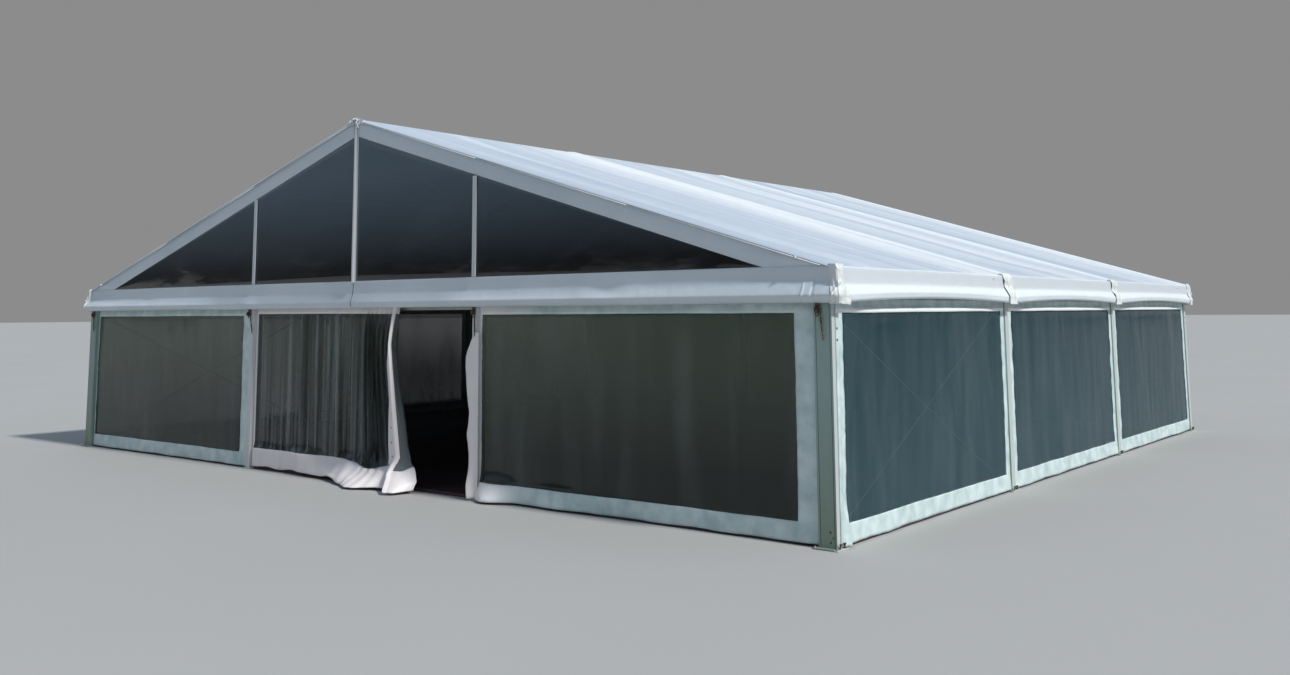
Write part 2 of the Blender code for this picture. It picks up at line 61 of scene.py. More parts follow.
# Places read from the frame
COVER_LOW, COVER_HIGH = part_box("roof_cover_1")
EAVE_X = COVER_HIGH.x
RIDGE_Z = COVER_HIGH.z
VALANCE_Z = COVER_LOW.z
FRAME_YS = [sum(corner.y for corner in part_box(f"leg_right_{k}")) / 2 for k in (1, 2, 3, 4)]
BAY = FRAME_YS[1] - FRAME_YS[0]
SLOPE = (RIDGE_Z - EAVE_Z) / EAVE_X
PITCH = math.atan(SLOPE)
LEG_X = HALF_SPAN - PROFILE_DEPTH / 2
LEG_INNER_X = HALF_SPAN - PROFILE_DEPTH
FRONT_FACE = FRAME_YS[0] - HALF_WIDTH
SIDE_WALL_X = HALF_SPAN - WALL_INSET
WALL_BOTTOM, WALL_TOP = (corner.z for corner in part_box("wall_border_right_1"))
WINDOW_SILL, WINDOW_TOP = (corner.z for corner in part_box("wall_window_right_1"))
GABLE_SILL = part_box("gable_window_right")[0].z
GABLE_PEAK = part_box("gable_window_right")[1].z
GABLE_TIP_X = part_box("gable_window_right")[1].x
GABLE_Y = sum(corner.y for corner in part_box("gable_border_right")) / 2
UPRIGHT_X = sum(corner.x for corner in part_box("upright_front_right")) / 2
KING_LOW, KING_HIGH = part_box("king_post")
PURLIN_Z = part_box("eave_purlin_right_1")[0].z
HANDS = {-1: "left", 1: "right"}

# Valance profile: how far down and how far out, from the eave fold to the hem's inner edge
VALANCE_DROP = EAVE_Z - VALANCE_Z
VALANCE_LIFT = 0.05
# How far the left side's valance bulges, as a share of the right side's
LEFT_VALANCE = 0.5
VALANCE_PROFILE = [
    (0.0, 0.0), (0.012, 0.004), (0.03, 0.006), (0.09, 0.006), (0.15, 0.008), (0.168, 0.011),
    (0.178, 0.014), (0.205, 0.028), (0.24, 0.046), (0.27, 0.06), (0.284, 0.062), (0.293, 0.06),
    (0.31, 0.056), (0.334, 0.05), (0.35, 0.036), (0.355, 0.016), (0.346, -0.004), (0.31, -0.01),
]

# The gable band's profile, down from the window's sill, and how it changes along the front
GABLE_PROFILE = [
    (0.0, 0.0), (0.02, 0.003), (0.09, 0.004), (0.15, 0.008), (0.165, 0.012), (0.175, 0.018),
    (0.2, 0.034), (0.24, 0.059), (0.28, 0.084), (0.294, 0.091), (0.304, 0.09), (0.318, 0.082),
    (0.345, 0.062), (0.365, 0.042), (0.373, 0.02),
]
BAND_START = 0.165
BAND_CREASE = 0.294
BAND_START_BY_X = [(-7.6, 0.178), (-0.1, 0.176), (2.9, 0.169), (5.94, 0.13), (7.2, 0.15), (7.6, 0.15)]
BAND_TILT_BY_X = [
    (-7.6, 1.0), (-4.0, 1.0), (-3.4, 0.45), (-2.8, 0.5), (-2.5, 0.9), (-2.2, 0.5), (-0.1, 0.4), (0.1, 0.55),
    (1.6, 0.6), (2.3, 1.0), (7.6, 1.0),
]


def smooth(low, high, value):
    """0 below low, 1 above high and a soft step between them."""
    part = min(1.0, max(0.0, (value - low) / (high - low)))
    return part * part * (3 - 2 * part)


def bell(value, centre, width):
    """A soft bump of height 1."""
    return math.exp(-(((value - centre) / width) ** 2))


def along(rows, value):
    """A value read from rows of places and values, straight between them."""
    if value <= rows[0][0]:
        return rows[0][1]
    for (a0, b0), (a1, b1) in zip(rows, rows[1:]):
        if value <= a1:
            return b0 + (b1 - b0) * (value - a0) / (a1 - a0)
    return rows[-1][1]


def rough(x, y, seed):
    """Smooth noise from about -1 to 1 over a plane."""
    return noise.noise(Vector((x, y, 17.3 * seed)))


def ruffle(x, y, seed, *waves):
    """Noise on noise over a plane: each wave's height, and its pace along x and along y."""
    return sum(size * rough(x * pace_x, y * pace_y, seed + k)
               for k, (size, pace_x, pace_y) in enumerate(waves))


def steps(start, *runs):
    """Values from start on, evenly spaced along each run, given by its end and its number of steps."""
    values = [start]
    for end, count in runs:
        values += [start + (end - start) * k / count for k in range(1, count + 1)]
        start = end
    return values


def roof_z(x):
    """Height of the roof's outer face."""
    return RIDGE_Z - SLOPE * abs(x)


def off_roof(side, height):
    """A step straight off the roof's outer face."""
    return Vector((side * math.sin(PITCH), 0, math.cos(PITCH))) * height


# Node materials

class Nodes:
    """A node tree and short ways to add to it."""

    def __init__(self, tree):
        self.tree = tree

    def node(self, kind, values=(), **settings):
        """A new node with its settings and its sockets' own values."""
        made = self.tree.nodes.new(kind)
        for key, value in settings.items():
            setattr(made, key, value)
        for socket, value in dict(values).items():
            made.inputs[socket].default_value = value
        return made

    def join(self, source, node, socket):
        self.tree.links.new(source, node.inputs[socket])

    def mix(self, part, first, second):
        """A colour between two, each a colour or another node's colour."""
        node = self.node("ShaderNodeMix", data_type="RGBA")
        self.join(part, node, 0)
        for socket, colour in ((6, first), (7, second)):
            if isinstance(colour, tuple):
                node.inputs[socket].default_value = (*colour, 1.0)
            else:
                self.join(colour, node, socket)
        return node.outputs[2]


class Finish(Nodes):
    """A Principled material and short ways to vary it over the object."""

    def __init__(self, name, roughness, metallic=0.0):
        self.material = bpy.data.materials.new(name)
        self.material.use_nodes = True
        super().__init__(self.material.node_tree)
        self.shader = self.tree.nodes["Principled BSDF"]
        self.even({"Roughness": roughness, "Metallic": metallic})
        self.place = self.node("ShaderNodeTexCoord").outputs["Object"]

    def even(self, values):
        """Values that are the same all over, on the shader's own sockets."""
        for socket, value in values.items():
            self.shader.inputs[socket].default_value = value

    def noise(self, scale, stretch=(1, 1, 1), detail=3.0, roughness=0.5):
        """Noise over the object, drawn out along an axis by a small stretch."""
        mapping = self.node("ShaderNodeMapping", {"Scale": stretch})
        self.join(self.place, mapping, "Vector")
        texture = self.node("ShaderNodeTexNoise", {"Scale": scale, "Detail": detail, "Roughness": roughness})
        self.join(mapping.outputs["Vector"], texture, "Vector")
        return texture.outputs["Fac"]

    def axis(self, name):
        """The place along one of the object's axes."""
        parts = self.node("ShaderNodeSeparateXYZ")
        self.join(self.place, parts, "Vector")
        return parts.outputs[name]

    def between(self, value, low, high, to_low=0.0, to_high=1.0):
        """A value taken from one range to another."""
        ends = {"From Min": low, "From Max": high, "To Min": to_low, "To Max": to_high}
        node = self.node("ShaderNodeMapRange", ends)
        self.join(value, node, "Value")
        return node.outputs["Result"]

    def reckon(self, operation, first, second):
        """A sum on two values, the second a number or another node's value."""
        node = self.node("ShaderNodeMath", operation=operation)
        self.join(first, node, 0)
        if isinstance(second, float):
            node.inputs[1].default_value = second
        else:
            self.join(second, node, 1)
        return node.outputs["Value"]

    def times(self, first, second):
        return self.reckon("MULTIPLY", first, second)

    def away(self, name, level):
        """How far off a level the place is along an axis."""
        return self.reckon("ABSOLUTE", self.reckon("SUBTRACT", self.axis(name), level), 0.0)

    def colour(self, source):
        self.join(source, self.shader, "Base Color")

    def roughness(self, source):
        self.join(source, self.shader, "Roughness")

    def bump(self, *layers):
        """Bumps one on another, each a height and its size in metres."""
        last = None
        for height, distance in layers:
            node = self.node("ShaderNodeBump", {"Distance": distance})
            self.join(height, node, "Height")
            if last:
                self.join(last, node, "Normal")
            last = node.outputs["Normal"]
        self.join(last, self.shader, "Normal")


def woven_surface(made, run, roughness, crease):
    """The gloss, creases and weave that every coated fabric has."""
    made.roughness(made.between(made.noise(7.0, detail=3), 0.3, 0.7, roughness - 0.07, roughness + 0.09))
    made.bump((made.noise(6.0, run, detail=4, roughness=0.6), crease), (made.noise(420.0, detail=1), 0.0006))
    made.even({"Coat Weight": 0.12, "Coat Roughness": 0.3})


# Where the borders' fabric beside the door turns whiter and back, a painted light bounced off the path, and
# the sunlit seam over the side windows, painted whiter as a painted highlight
PATH_LIGHT_FROM = (2.35, 2.45)
PATH_LIGHT_TO = (2.62, 3.5)
SUN_BAND_Z = WINDOW_TOP + 0.018
SUN_BAND_EDGE = (0.018, 0.026)
SUN_BAND_FROM_X = (7.3, 7.35)


def membrane(name, pale, darker_tone, roughness, run, dirt=0.2, crease=0.009, clouds=0.9, painted_path_light=None, seam=None):
    """White coated fabric: cloudy, creased along run and dusty towards the ground, with painted path light
    beside the door and a painted highlight on the seam over the side windows where these are given.
    """
    made = Finish(name, roughness)
    cloth = made.mix(made.between(made.noise(clouds, detail=4), 0.35, 0.7), pale, darker_tone)
    # Painted light: beside the door the fabric turns pinkish white, as if lit by light bounced off the path
    if painted_path_light:
        across = made.axis("X")
        near = made.times(made.between(across, *PATH_LIGHT_FROM), made.between(across, *PATH_LIGHT_TO, 1.0, 0.0))
        cloth = made.mix(near, cloth, painted_path_light)
    if seam:
        # Painted highlight: the seam over the side windows painted whiter where the sun falls below the
        # valance
        painted_sun_band = made.between(made.away("Z", SUN_BAND_Z), *SUN_BAND_EDGE, 1.0, 0.0)
        cloth = made.mix(made.times(painted_sun_band, made.between(made.axis("X"), *SUN_BAND_FROM_X)), cloth, seam)
    streaks = made.between(made.noise(5.0, run, detail=5, roughness=0.62), 0.52, 0.78)
    low = made.between(made.axis("Z"), 0.0, 0.9, 1.0, 0.1)
    made.colour(made.mix(made.times(made.times(streaks, low), dirt), cloth, (0.34, 0.33, 0.27)))
    woven_surface(made, run, roughness, crease)
    return made.material


def roof_membrane():
    """Roof fabric with painted light and shade: bluish painted shade in streaks down the slope and just past
    each frame, paler towards each bay's far hem with a painted highlight along it, a pale painted highlight
    line at the eave fold, and the valance's upper part painted greyer than its bulge below.
    """
    made = Finish("roof_membrane", 0.42)
    across = made.reckon("MODULO", made.reckon("SUBTRACT", made.axis("Y"), FRAME_YS[0]), BAY)
    # Painted shade across each bay: darkest just past each frame, growing paler towards the far hem
    rise = made.between(across, 0.1 * BAY, 0.96 * BAY, 0.1, 0.52)
    # Painted shade and light in long streaks down the slope, for the shading of the cover's folds
    streaks = made.between(made.noise(1.3, (0.06, 1, 0.06)), 0.3, 0.7, -0.34, 0.46)
    # A painted highlight along each bay's far hem, where the cover rises over the next frame
    hem = made.between(across, BAY - 0.24, BAY - 0.12)
    # A painted highlight along the eave fold
    fold = made.between(made.away("Z", EAVE_Z + 0.004), 0.004, 0.012, 1.0, 0.0)
    part = made.reckon("MAXIMUM", made.reckon("MAXIMUM", made.reckon("ADD", rise, streaks), hem), fold)
    # The bluish end of this mix is painted shade
    roof = made.mix(made.between(part, 0.0, 1.0), (0.51, 0.59, 0.7), (0.9, 0.95, 0.97))
    height = made.axis("Z")
    # Painted shade on the valance: its upper part greyer, its lower bulge painted paler as if sunlit
    painted_bulge_mask = made.between(height, EAVE_Z - 0.19, EAVE_Z - 0.15, 1.0, 0.0)
    painted_valance_light = made.mix(painted_bulge_mask, (0.66, 0.71, 0.75), (0.8, 0.87, 0.92))
    valance = made.between(height, EAVE_Z - 0.016, EAVE_Z - 0.008, 1.0, 0.0)
    made.colour(made.mix(valance, roof, painted_valance_light))
    woven_surface(made, (0.12, 1, 0.12), 0.42, 0.006)
    return made.material


def clear_film(name, tints, alphas, run, waves, levels=(0.6, 2.2), haze=0.3, fine=3.0, coat=0.2, gloss=0.5,
               cloudy_edge=None):
    """Clear flexible film: one tint and cover low down and another above, with dusty streaks and waves. Where
    the upper tint is paler, the change up the film is a painted reflection, brighter above.
    """
    made = Finish(name, 0.08)
    # Up the film the tint changes from the low one to the upper one: a painted reflection where the upper
    # tint is paler
    up = made.between(made.axis("Z"), *levels)
    dust = made.times(made.between(made.noise(fine, run, detail=4, roughness=0.6), 0.45, 0.75), haze)
    if cloudy_edge:
        dust = made.reckon("MAXIMUM", dust, made.between(made.axis("X"), *cloudy_edge, 0.0, 0.5))
    made.colour(made.mix(dust, made.mix(up, *tints), (0.34, 0.38, 0.4)))
    made.roughness(made.between(made.noise(9.0, run, detail=3), 0.3, 0.75, 0.05, 0.2))
    cover = made.reckon("ADD", made.between(up, 0.0, 1.0, *alphas), made.times(dust, 0.5))
    made.join(cover, made.shader, "Alpha")
    made.even({"IOR": 1.45, "Specular IOR Level": gloss, "Coat Weight": coat, "Coat Roughness": 0.04})
    made.bump((made.noise(2.4, run, detail=3, roughness=0.55), waves))
    return made.material


def drawn_profile(name, lower, upper, darker_tone, metallic, roughness, outer=None):
    """Aluminium drawn along its length, darker towards the ground and stained, its outer faces painted paler
    as painted sunlight where a colour for them is given.
    """
    made = Finish(name, roughness, metallic)
    up = made.between(made.axis("Z"), 0.1, 1.5)
    stains = made.between(made.noise(3.0, (1, 1, 0.25), detail=5, roughness=0.6), 0.45, 0.8)
    tone = made.mix(made.times(stains, 0.7), made.mix(up, lower, upper), darker_tone)
    # Painted light: the legs' faces on the tent's outer sides are painted paler, as if sunlit
    if outer:
        painted_light_face = made.between(made.away("X", 0.0), HALF_SPAN - 0.002, HALF_SPAN - 0.0005)
        tone = made.mix(painted_light_face, tone, outer)
    made.colour(tone)
    drawn = made.noise(60.0, (1, 1, 0.03), detail=2)
    made.roughness(made.between(drawn, 0.3, 0.7, roughness - 0.08, roughness + 0.1))
    made.bump((drawn, 0.0006))
    return made.material


def galvanised_steel():
    """Zinc-coated steel with its mottled crystals."""
    made = Finish("galvanised_steel", 0.5, 0.85)
    crystals = made.node("ShaderNodeTexVoronoi", {"Scale": 55.0}, feature="F1")
    made.join(made.place, crystals, "Vector")
    mottled = made.between(crystals.outputs["Distance"], 0.0, 0.8)
    made.colour(made.mix(mottled, (0.55, 0.56, 0.57), (0.34, 0.35, 0.36)))
    made.roughness(made.between(mottled, 0.0, 1.0, 0.4, 0.62))
    made.bump((made.noise(90.0, detail=2), 0.0008))
    return made.material


def rusty_steel():
    """Bare steel gone brown, with grey left in places."""
    made = Finish("rusty_steel", 0.75, 0.25)
    patches = made.between(made.noise(38.0, detail=6, roughness=0.7), 0.42, 0.62)
    rust = made.mix(patches, (0.06, 0.045, 0.03), (0.2, 0.125, 0.065))
    bare = made.between(made.noise(14.0, detail=4), 0.56, 0.68)
    made.colour(made.mix(bare, rust, (0.26, 0.24, 0.22)))
    made.roughness(made.between(patches, 0.0, 1.0, 0.6, 0.9))
    made.bump((made.noise(150.0, detail=4, roughness=0.7), 0.002))
    return made.material


def deck_boards():
    """Painted red-brown boards laid along the tent and scuffed, their colours darkened to nearly black as
    painted shade.
    """
    made = Finish("deck_boards", 0.6)
    turn = made.node("ShaderNodeMapping", {"Rotation": (0.0, 0.0, math.pi / 2)})
    made.join(made.place, turn, "Vector")
    # Board colours darkened to nearly black: painted shade over a red-brown paint
    colours = {"Color1": (0.06, 0.028, 0.032, 1), "Color2": (0.036, 0.019, 0.024, 1),
               "Mortar": (0.006, 0.004, 0.005, 1)}
    sizes = {"Scale": 1.0, "Mortar Size": 0.006, "Brick Width": 2.4, "Row Height": 0.3}
    boards = made.node("ShaderNodeTexBrick", {**colours, **sizes}, offset=0.37)
    made.join(turn.outputs["Vector"], boards, "Vector")
    scuffs = made.between(made.noise(6.0, (1, 0.2, 1), detail=6, roughness=0.7), 0.5, 0.8)
    made.colour(made.mix(made.times(scuffs, 0.35), boards.outputs["Color"], (0.13, 0.09, 0.085)))
    made.roughness(made.between(scuffs, 0.0, 1.0, 0.5, 0.8))
    made.bump((boards.outputs["Fac"], -0.002), (made.noise(40.0, (1, 0.1, 1), detail=4), 0.0012))
    return made.material


def painted_inner_shade():
    """Painted shade: the inner side of the opaque white fabric, made dark grey and dull."""
    made = Finish("roof_inner_painted_shade", 0.8)
    made.colour(made.mix(made.noise(1.6, detail=4), (0.085, 0.095, 0.11), (0.14, 0.15, 0.165)))
    made.bump((made.noise(5.0, (0.2, 1, 0.2), detail=3), 0.008))
    return made.material


ROOF_WHITE = roof_membrane()
WALL_WHITE = membrane("wall_membrane", (0.7, 0.77, 0.83), (0.62, 0.7, 0.76), 0.44, (1, 1, 0.2))
# The border's teal tint is painted green light bounced off the grass, and its fine mottle painted light
# shining through the fabric
BORDER_WHITE = membrane("border_membrane", (0.7, 0.82, 0.82), (0.47, 0.61, 0.62), 0.44, (1, 1, 0.3),
                        crease=0.014, clouds=5.5, painted_path_light=(0.94, 0.92, 0.92), seam=(0.94, 0.95, 0.95))
CORNER_WHITE = membrane("corner_membrane", (0.82, 0.85, 0.84), (0.68, 0.73, 0.72), 0.46, (0.6, 0.6, 0.6))
CURTAIN_WHITE = membrane("curtain_membrane", (0.92, 0.87, 0.87), (0.84, 0.79, 0.79), 0.5, (1, 1, 0.14),
                         dirt=0.3)
# The clear film's pale green upper tint over a dark low one is a painted reflection of trees and sky
WALL_FILM = clear_film("clear_film", ((0.02, 0.028, 0.022), (0.125, 0.16, 0.112)), (0.68, 0.54),
                       (1, 1, 0.14), 0.009, haze=0.14)
SIDE_FILM = clear_film("side_film", ((0.036, 0.09, 0.112), (0.022, 0.068, 0.086)), (0.58, 0.56),
                       (1, 1, 0.16), 0.006, haze=0.12, coat=0.0, gloss=0.28)
# The far side's windows that show through the doorway are denser and darker: painted shade that keeps the
# view through the doorway dark
FAR_FILM = clear_film("far_side_film", ((0.03, 0.072, 0.08), (0.022, 0.068, 0.07)), (0.8, 0.66),
                      (1, 1, 0.16), 0.006, levels=(1.0, 1.9), haze=0.12, coat=0.0, gloss=0.28)
# The gable film's bluish upper tint over a near black low one is a painted reflection of the sky over darker
# ground
GABLE_FILM = clear_film("gable_film", ((0.002, 0.004, 0.006), (0.158, 0.218, 0.27)), (0.86, 0.62),
                        (0.35, 1, 0.8), 0.014, levels=(2.9, 4.2), haze=0.05, coat=0.55)
CURTAIN_FILM = clear_film("curtain_film", ((0.022, 0.026, 0.022), (0.05, 0.066, 0.044)), (0.44, 0.44),
                          (1, 1, 0.02), 0.008, levels=(0.5, 2.2), haze=0.75, fine=16.0,
                          cloudy_edge=(0.55, 0.95))
ALUMINIUM = drawn_profile("anodised_aluminium", (0.46, 0.5, 0.47), (0.5, 0.54, 0.51), (0.36, 0.4, 0.37),
                          0.6, 0.42)
LEG_FINISH = drawn_profile("leg_profile", (0.25, 0.33, 0.26), (0.33, 0.44, 0.42), (0.24, 0.29, 0.24),
                           0.1, 0.48, outer=(0.56, 0.61, 0.6))
PALE_FINISH = drawn_profile("pale_profile", (0.66, 0.67, 0.66), (0.72, 0.75, 0.77), (0.58, 0.6, 0.58),
                            0.1, 0.45)
STEEL = galvanised_steel()
RUST = rusty_steel()
INNER_PAINTED_SHADE = painted_inner_shade()
DECK = deck_boards()


# Building pieces

def finish_piece(name, bm, materials, replaces=(), thickness=None):
    """A bmesh as a named piece that rides on the tent's one body."""
    mesh = bpy.data.meshes.new(name)
    bm.to_mesh(mesh)
    bm.free()
    for material in materials:
        mesh.materials.append(material)
    piece = bpy.data.objects.new(name, mesh)
    bpy.context.scene.collection.objects.link(piece)
    if thickness:
        solid = piece.modifiers.new("thickness", "SOLIDIFY")
        solid.thickness = thickness
        solid.offset = -1.0
        solid.material_offset = len(materials) - 1
    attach(piece, "root")
    if replaces:
        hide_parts(*replaces)
    return piece


def finish_sheet(name, bm, materials, slot, flat, rests_on, replaces=(), thickness=CLOTH, held="stretched",
                 **more):
    """A piece of thin cloth or film. The size that it was cut to is given but not used."""
    piece = finish_piece(name, bm, materials, replaces, thickness)


def sheet_grid(us, vs, point, keep=None, turned=False):
    """A sheet of quads over two lists of values, without the cells that keep turns down."""
    bm = bmesh.new()
    made = {}
    if turned:
        us = us[::-1]

    def corner(i, j):
        if (i, j) not in made:
            made[i, j] = bm.verts.new(point(us[i], vs[j]))
        return made[i, j]

    for i in range(len(us) - 1):
        for j in range(len(vs) - 1):
            if keep is None or keep((us[i] + us[i + 1]) / 2, (vs[j] + vs[j + 1]) / 2):
                face = bm.faces.new((corner(i, j), corner(i + 1, j), corner(i + 1, j + 1), corner(i, j + 1)))
                face.smooth = True
    return bm


def add_block(bm, low, high, bevel=0.0):
    """A block between two corners, its edges bevelled where bevel is given."""
    low, high = Vector(low), Vector(high)
    size = Matrix.Diagonal((*(high - low), 1.0))
    made = bmesh.ops.create_cube(bm, size=1.0, matrix=Matrix.Translation((low + high) / 2) @ size)
    if bevel:
        edges = list({edge for vert in made["verts"] for edge in vert.link_edges})
        bmesh.ops.bevel(bm, geom=edges, offset=bevel, segments=2, affect="EDGES", profile=0.7)


def add_rod(bm, start, end, radius, sides=12, far_radius=None):
    """A round bar between two points, tapered where far_radius is given."""
    axis = Vector(end) - Vector(start)
    turn = axis.to_track_quat("Z", "Y").to_matrix().to_4x4()
    matrix = Matrix.Translation((Vector(start) + Vector(end)) / 2) @ turn
    far = radius if far_radius is None else far_radius
    made = bmesh.ops.create_cone(bm, cap_ends=True, segments=sides, radius1=radius, radius2=far,
                                 depth=axis.length, matrix=matrix)
    for face in {face for vert in made["verts"] for face in vert.link_faces}:
        face.smooth = len(face.verts) == 4


def add_skin(bm, rings, closed=False, smooth=True):
    """Quads from each ring of points to the next, closed round to the first or with end faces."""
    rings = [[bm.verts.new(point) for point in ring] for ring in rings]
    nexts = rings[1:] + rings[:1] if closed else rings[1:]
    for near, far in zip(rings, nexts):
        for k in range(len(near)):
            n = (k + 1) % len(near)
            bm.faces.new((near[k], near[n], far[n], far[k])).smooth = smooth
    if not closed:
        bm.faces.new(rings[0][::-1])
        bm.faces.new(rings[-1])


def add_tube(bm, path, radius, sides=8):
    """A closed-ended tube along a path of points."""
    rings = []
    for k, point in enumerate(path):
        heading = (path[min(k + 1, len(path) - 1)] - path[max(k - 1, 0)]).normalized()
        turn = heading.to_track_quat("Z", "Y").to_matrix()
        angles = [2 * math.pi * side / sides for side in range(sides)]
        rings.append([point + turn @ Vector((math.cos(a), math.sin(a), 0)) * radius for a in angles])
    add_skin(bm, rings)


def add_ring(bm, centre, axis, radius, wire, around, sides=6):
    """A round ring of wire."""
    turn = Vector(axis).to_track_quat("Z", "Y").to_matrix()
    rings = []
    for k in range(around):
        angle = 2 * math.pi * k / around
        out = Vector((math.cos(angle), math.sin(angle), 0))
        ring = []
        for side in range(sides, 0, -1):
            phase = 2 * math.pi * side / sides
            local = out * (radius + wire * math.cos(phase)) + Vector((0, 0, wire * math.sin(phase)))
            ring.append(Vector(centre) + turn @ local)
        rings.append(ring)
    add_skin(bm, rings, closed=True)


# Roof covers

# How a cover ends: past the front, its lip, the gap to the next cover, its far hem, and its sag
COVER_END = 0.0035
COVER_LIP = 0.024
COVER_LIP_DROP = 0.03
COVER_GAP = 0.0012
HEM_WIDTH = 0.14
HEM_STEP = 0.005
SAG = 0.036
SLOPE_LENGTH = 7.9
VALANCE_HEM = 0.06

# Long soft folds of a cover: place across the bay, drift down the slope, width and height
ROOF_FOLDS = [
    (0.14, 0.06, 0.045, 0.012),
    (0.3, 0.05, 0.035, 0.016),
    (0.47, -0.06, 0.06, 0.01),
    (0.62, 0.07, 0.045, -0.01),
    (0.78, 0.04, 0.05, 0.012),
    (0.9, -0.03, 0.035, -0.007),
]


def roof_wave(a, u, bay, side):
    """How far a cover stands out of its plane, a from ridge to eave and u across the bay."""
    hold = smooth(0.0, 0.16, a) * (1 - 0.85 * smooth(0.82, 1.0, a))
    wave = -SAG * math.sqrt(max(0.0, 4 * u * (1 - u))) * hold
    seed = bay * 3 + side
    fade = smooth(0.02, 0.2, a) * (1 - smooth(0.9, 1.0, a))
    for k, (centre, drift, width, size) in enumerate(ROOF_FOLDS):
        at = centre + drift * (a - 0.5) + 0.05 * rough(k * 2.7, 0.0, seed)
        wave += size * (0.7 + 0.6 * rough(a * 2.2, k * 5.1, seed)) * bell(u, at, width) * fade
    wave += fade * ruffle(u, a, seed + 1, (0.006, 9.0, 1.3), (0.0022, 26.0, 2.6))
    near = min(u, 1 - u) * BAY
    away = max(1e-3, (1 - a) * SLOPE_LENGTH)
    reach = math.hypot(near, away)
    wave += 0.006 * math.sin(16 * math.atan2(near, away)) * math.exp(-reach / 1.1) * smooth(0.05, 0.3, reach)
    return wave * smooth(HALF_WIDTH, 0.32, near) + 0.01 * bell(near, 0.0, 0.09)


def valance_point(side, part, u, y, seed):
    """A point of a side valance, part counting along its profile."""
    k = min(int(part), len(VALANCE_PROFILE) - 2)
    share = part - k
    drop, out = (a * (1 - share) + b * share for a, b in zip(VALANCE_PROFILE[k], VALANCE_PROFILE[k + 1]))
    if side < 0:
        out *= LEFT_VALANCE
    lift = VALANCE_LIFT * (1 - (2 * u - 1) ** 2) * smooth(0.04, VALANCE_DROP, drop)
    out += 0.005 * rough(y * 2.3, drop * 5, seed) * smooth(0.0, 0.2, drop)
    out += 0.002 * rough(y * 9.0, drop * 14, seed + 3) * smooth(0.0, 0.1, drop)
    near = min(u, 1 - u) * BAY
    out += 0.009 * math.sin(near * 30 + drop * 38) * math.exp(-near / 0.16) * smooth(0.02, 0.12, drop)
    return Vector((side * (EAVE_X + out), y, EAVE_Z - drop + lift))


def cover_point(p, y, y0, y1, bay):
    """A point of a roof cover: p runs from hem to hem, -1 to 1 over the roof."""
    side = 1 if p >= 0 else -1
    a = abs(p)
    inner_y = min(max(y, y0), y1)
    u = (inner_y - y0) / (y1 - y0)
    lip = abs(y - inner_y) / COVER_LIP * COVER_LIP_DROP
    if a > 1:
        point = valance_point(side, a - 1, u, inner_y, bay * 7 + side)
        return point - Vector((side * lip * 0.6, inner_y - y, 0))
    wave = roof_wave(a, u, bay, side)
    if bay < len(FRAME_YS) - 2:
        wave += HEM_STEP * smooth(y1 - HEM_WIDTH - 0.01, y1 - HEM_WIDTH, y)
    if y < y0 or y > y1:
        wave -= lip
    x = side * a * EAVE_X
    soft = Vector((x, y, roof_z(x) - 0.004 * bell(a * EAVE_X, 0.0, 0.05)))
    return soft + off_roof(side, wave)


def build_cover(bay):
    """One sheet from valance to valance over the ridge, with a lip at the tent's ends."""
    node = f"roof_cover_{bay + 1}"
    last = len(FRAME_YS) - 2
    y0 = FRONT_FACE - COVER_END if bay == 0 else FRAME_YS[bay] + COVER_GAP
    y1 = COVER_END - FRONT_FACE if bay == last else FRAME_YS[bay + 1] - COVER_GAP
    ys = steps(y0, (y0 + 0.12, 4), (y1 - 0.16, 66), (y1 - 0.12, 4), (y1, 4))
    if bay == 0:
        ys = [y0 - COVER_LIP * part for part in (1.0, 0.93, 0.7)] + ys
    if bay == last:
        ys += [y1 + COVER_LIP * part for part in (0.7, 0.93, 1.0)]
    right = steps(0.0, (0.05, 5), (0.94, 88), (0.992, 8)) + [0.997, 1.0]
    right += [1 + part / 2 for part in range(1, 2 * len(VALANCE_PROFILE) - 1)]
    ps = [-p for p in reversed(right[1:])] + right
    bm = sheet_grid(ps, ys, lambda p, y: cover_point(p, y, y0, y1, bay))
    flat = (round(y1 - y0, 2), round(2 * (EAVE_X / math.cos(PITCH) + VALANCE_DROP + VALANCE_HEM), 2))
    finish_sheet(node + "_sheet", bm, [ROOF_WHITE, INNER_PAINTED_SHADE], "roof_membrane", flat,
                 [f"rafter_right_{bay + 1}", "ridge_beam"], [node])


# A joint flap: how far it hangs below the fold and reaches up the roof
FLAP_FOOT = 0.365
FLAP_HEAD = 0.05


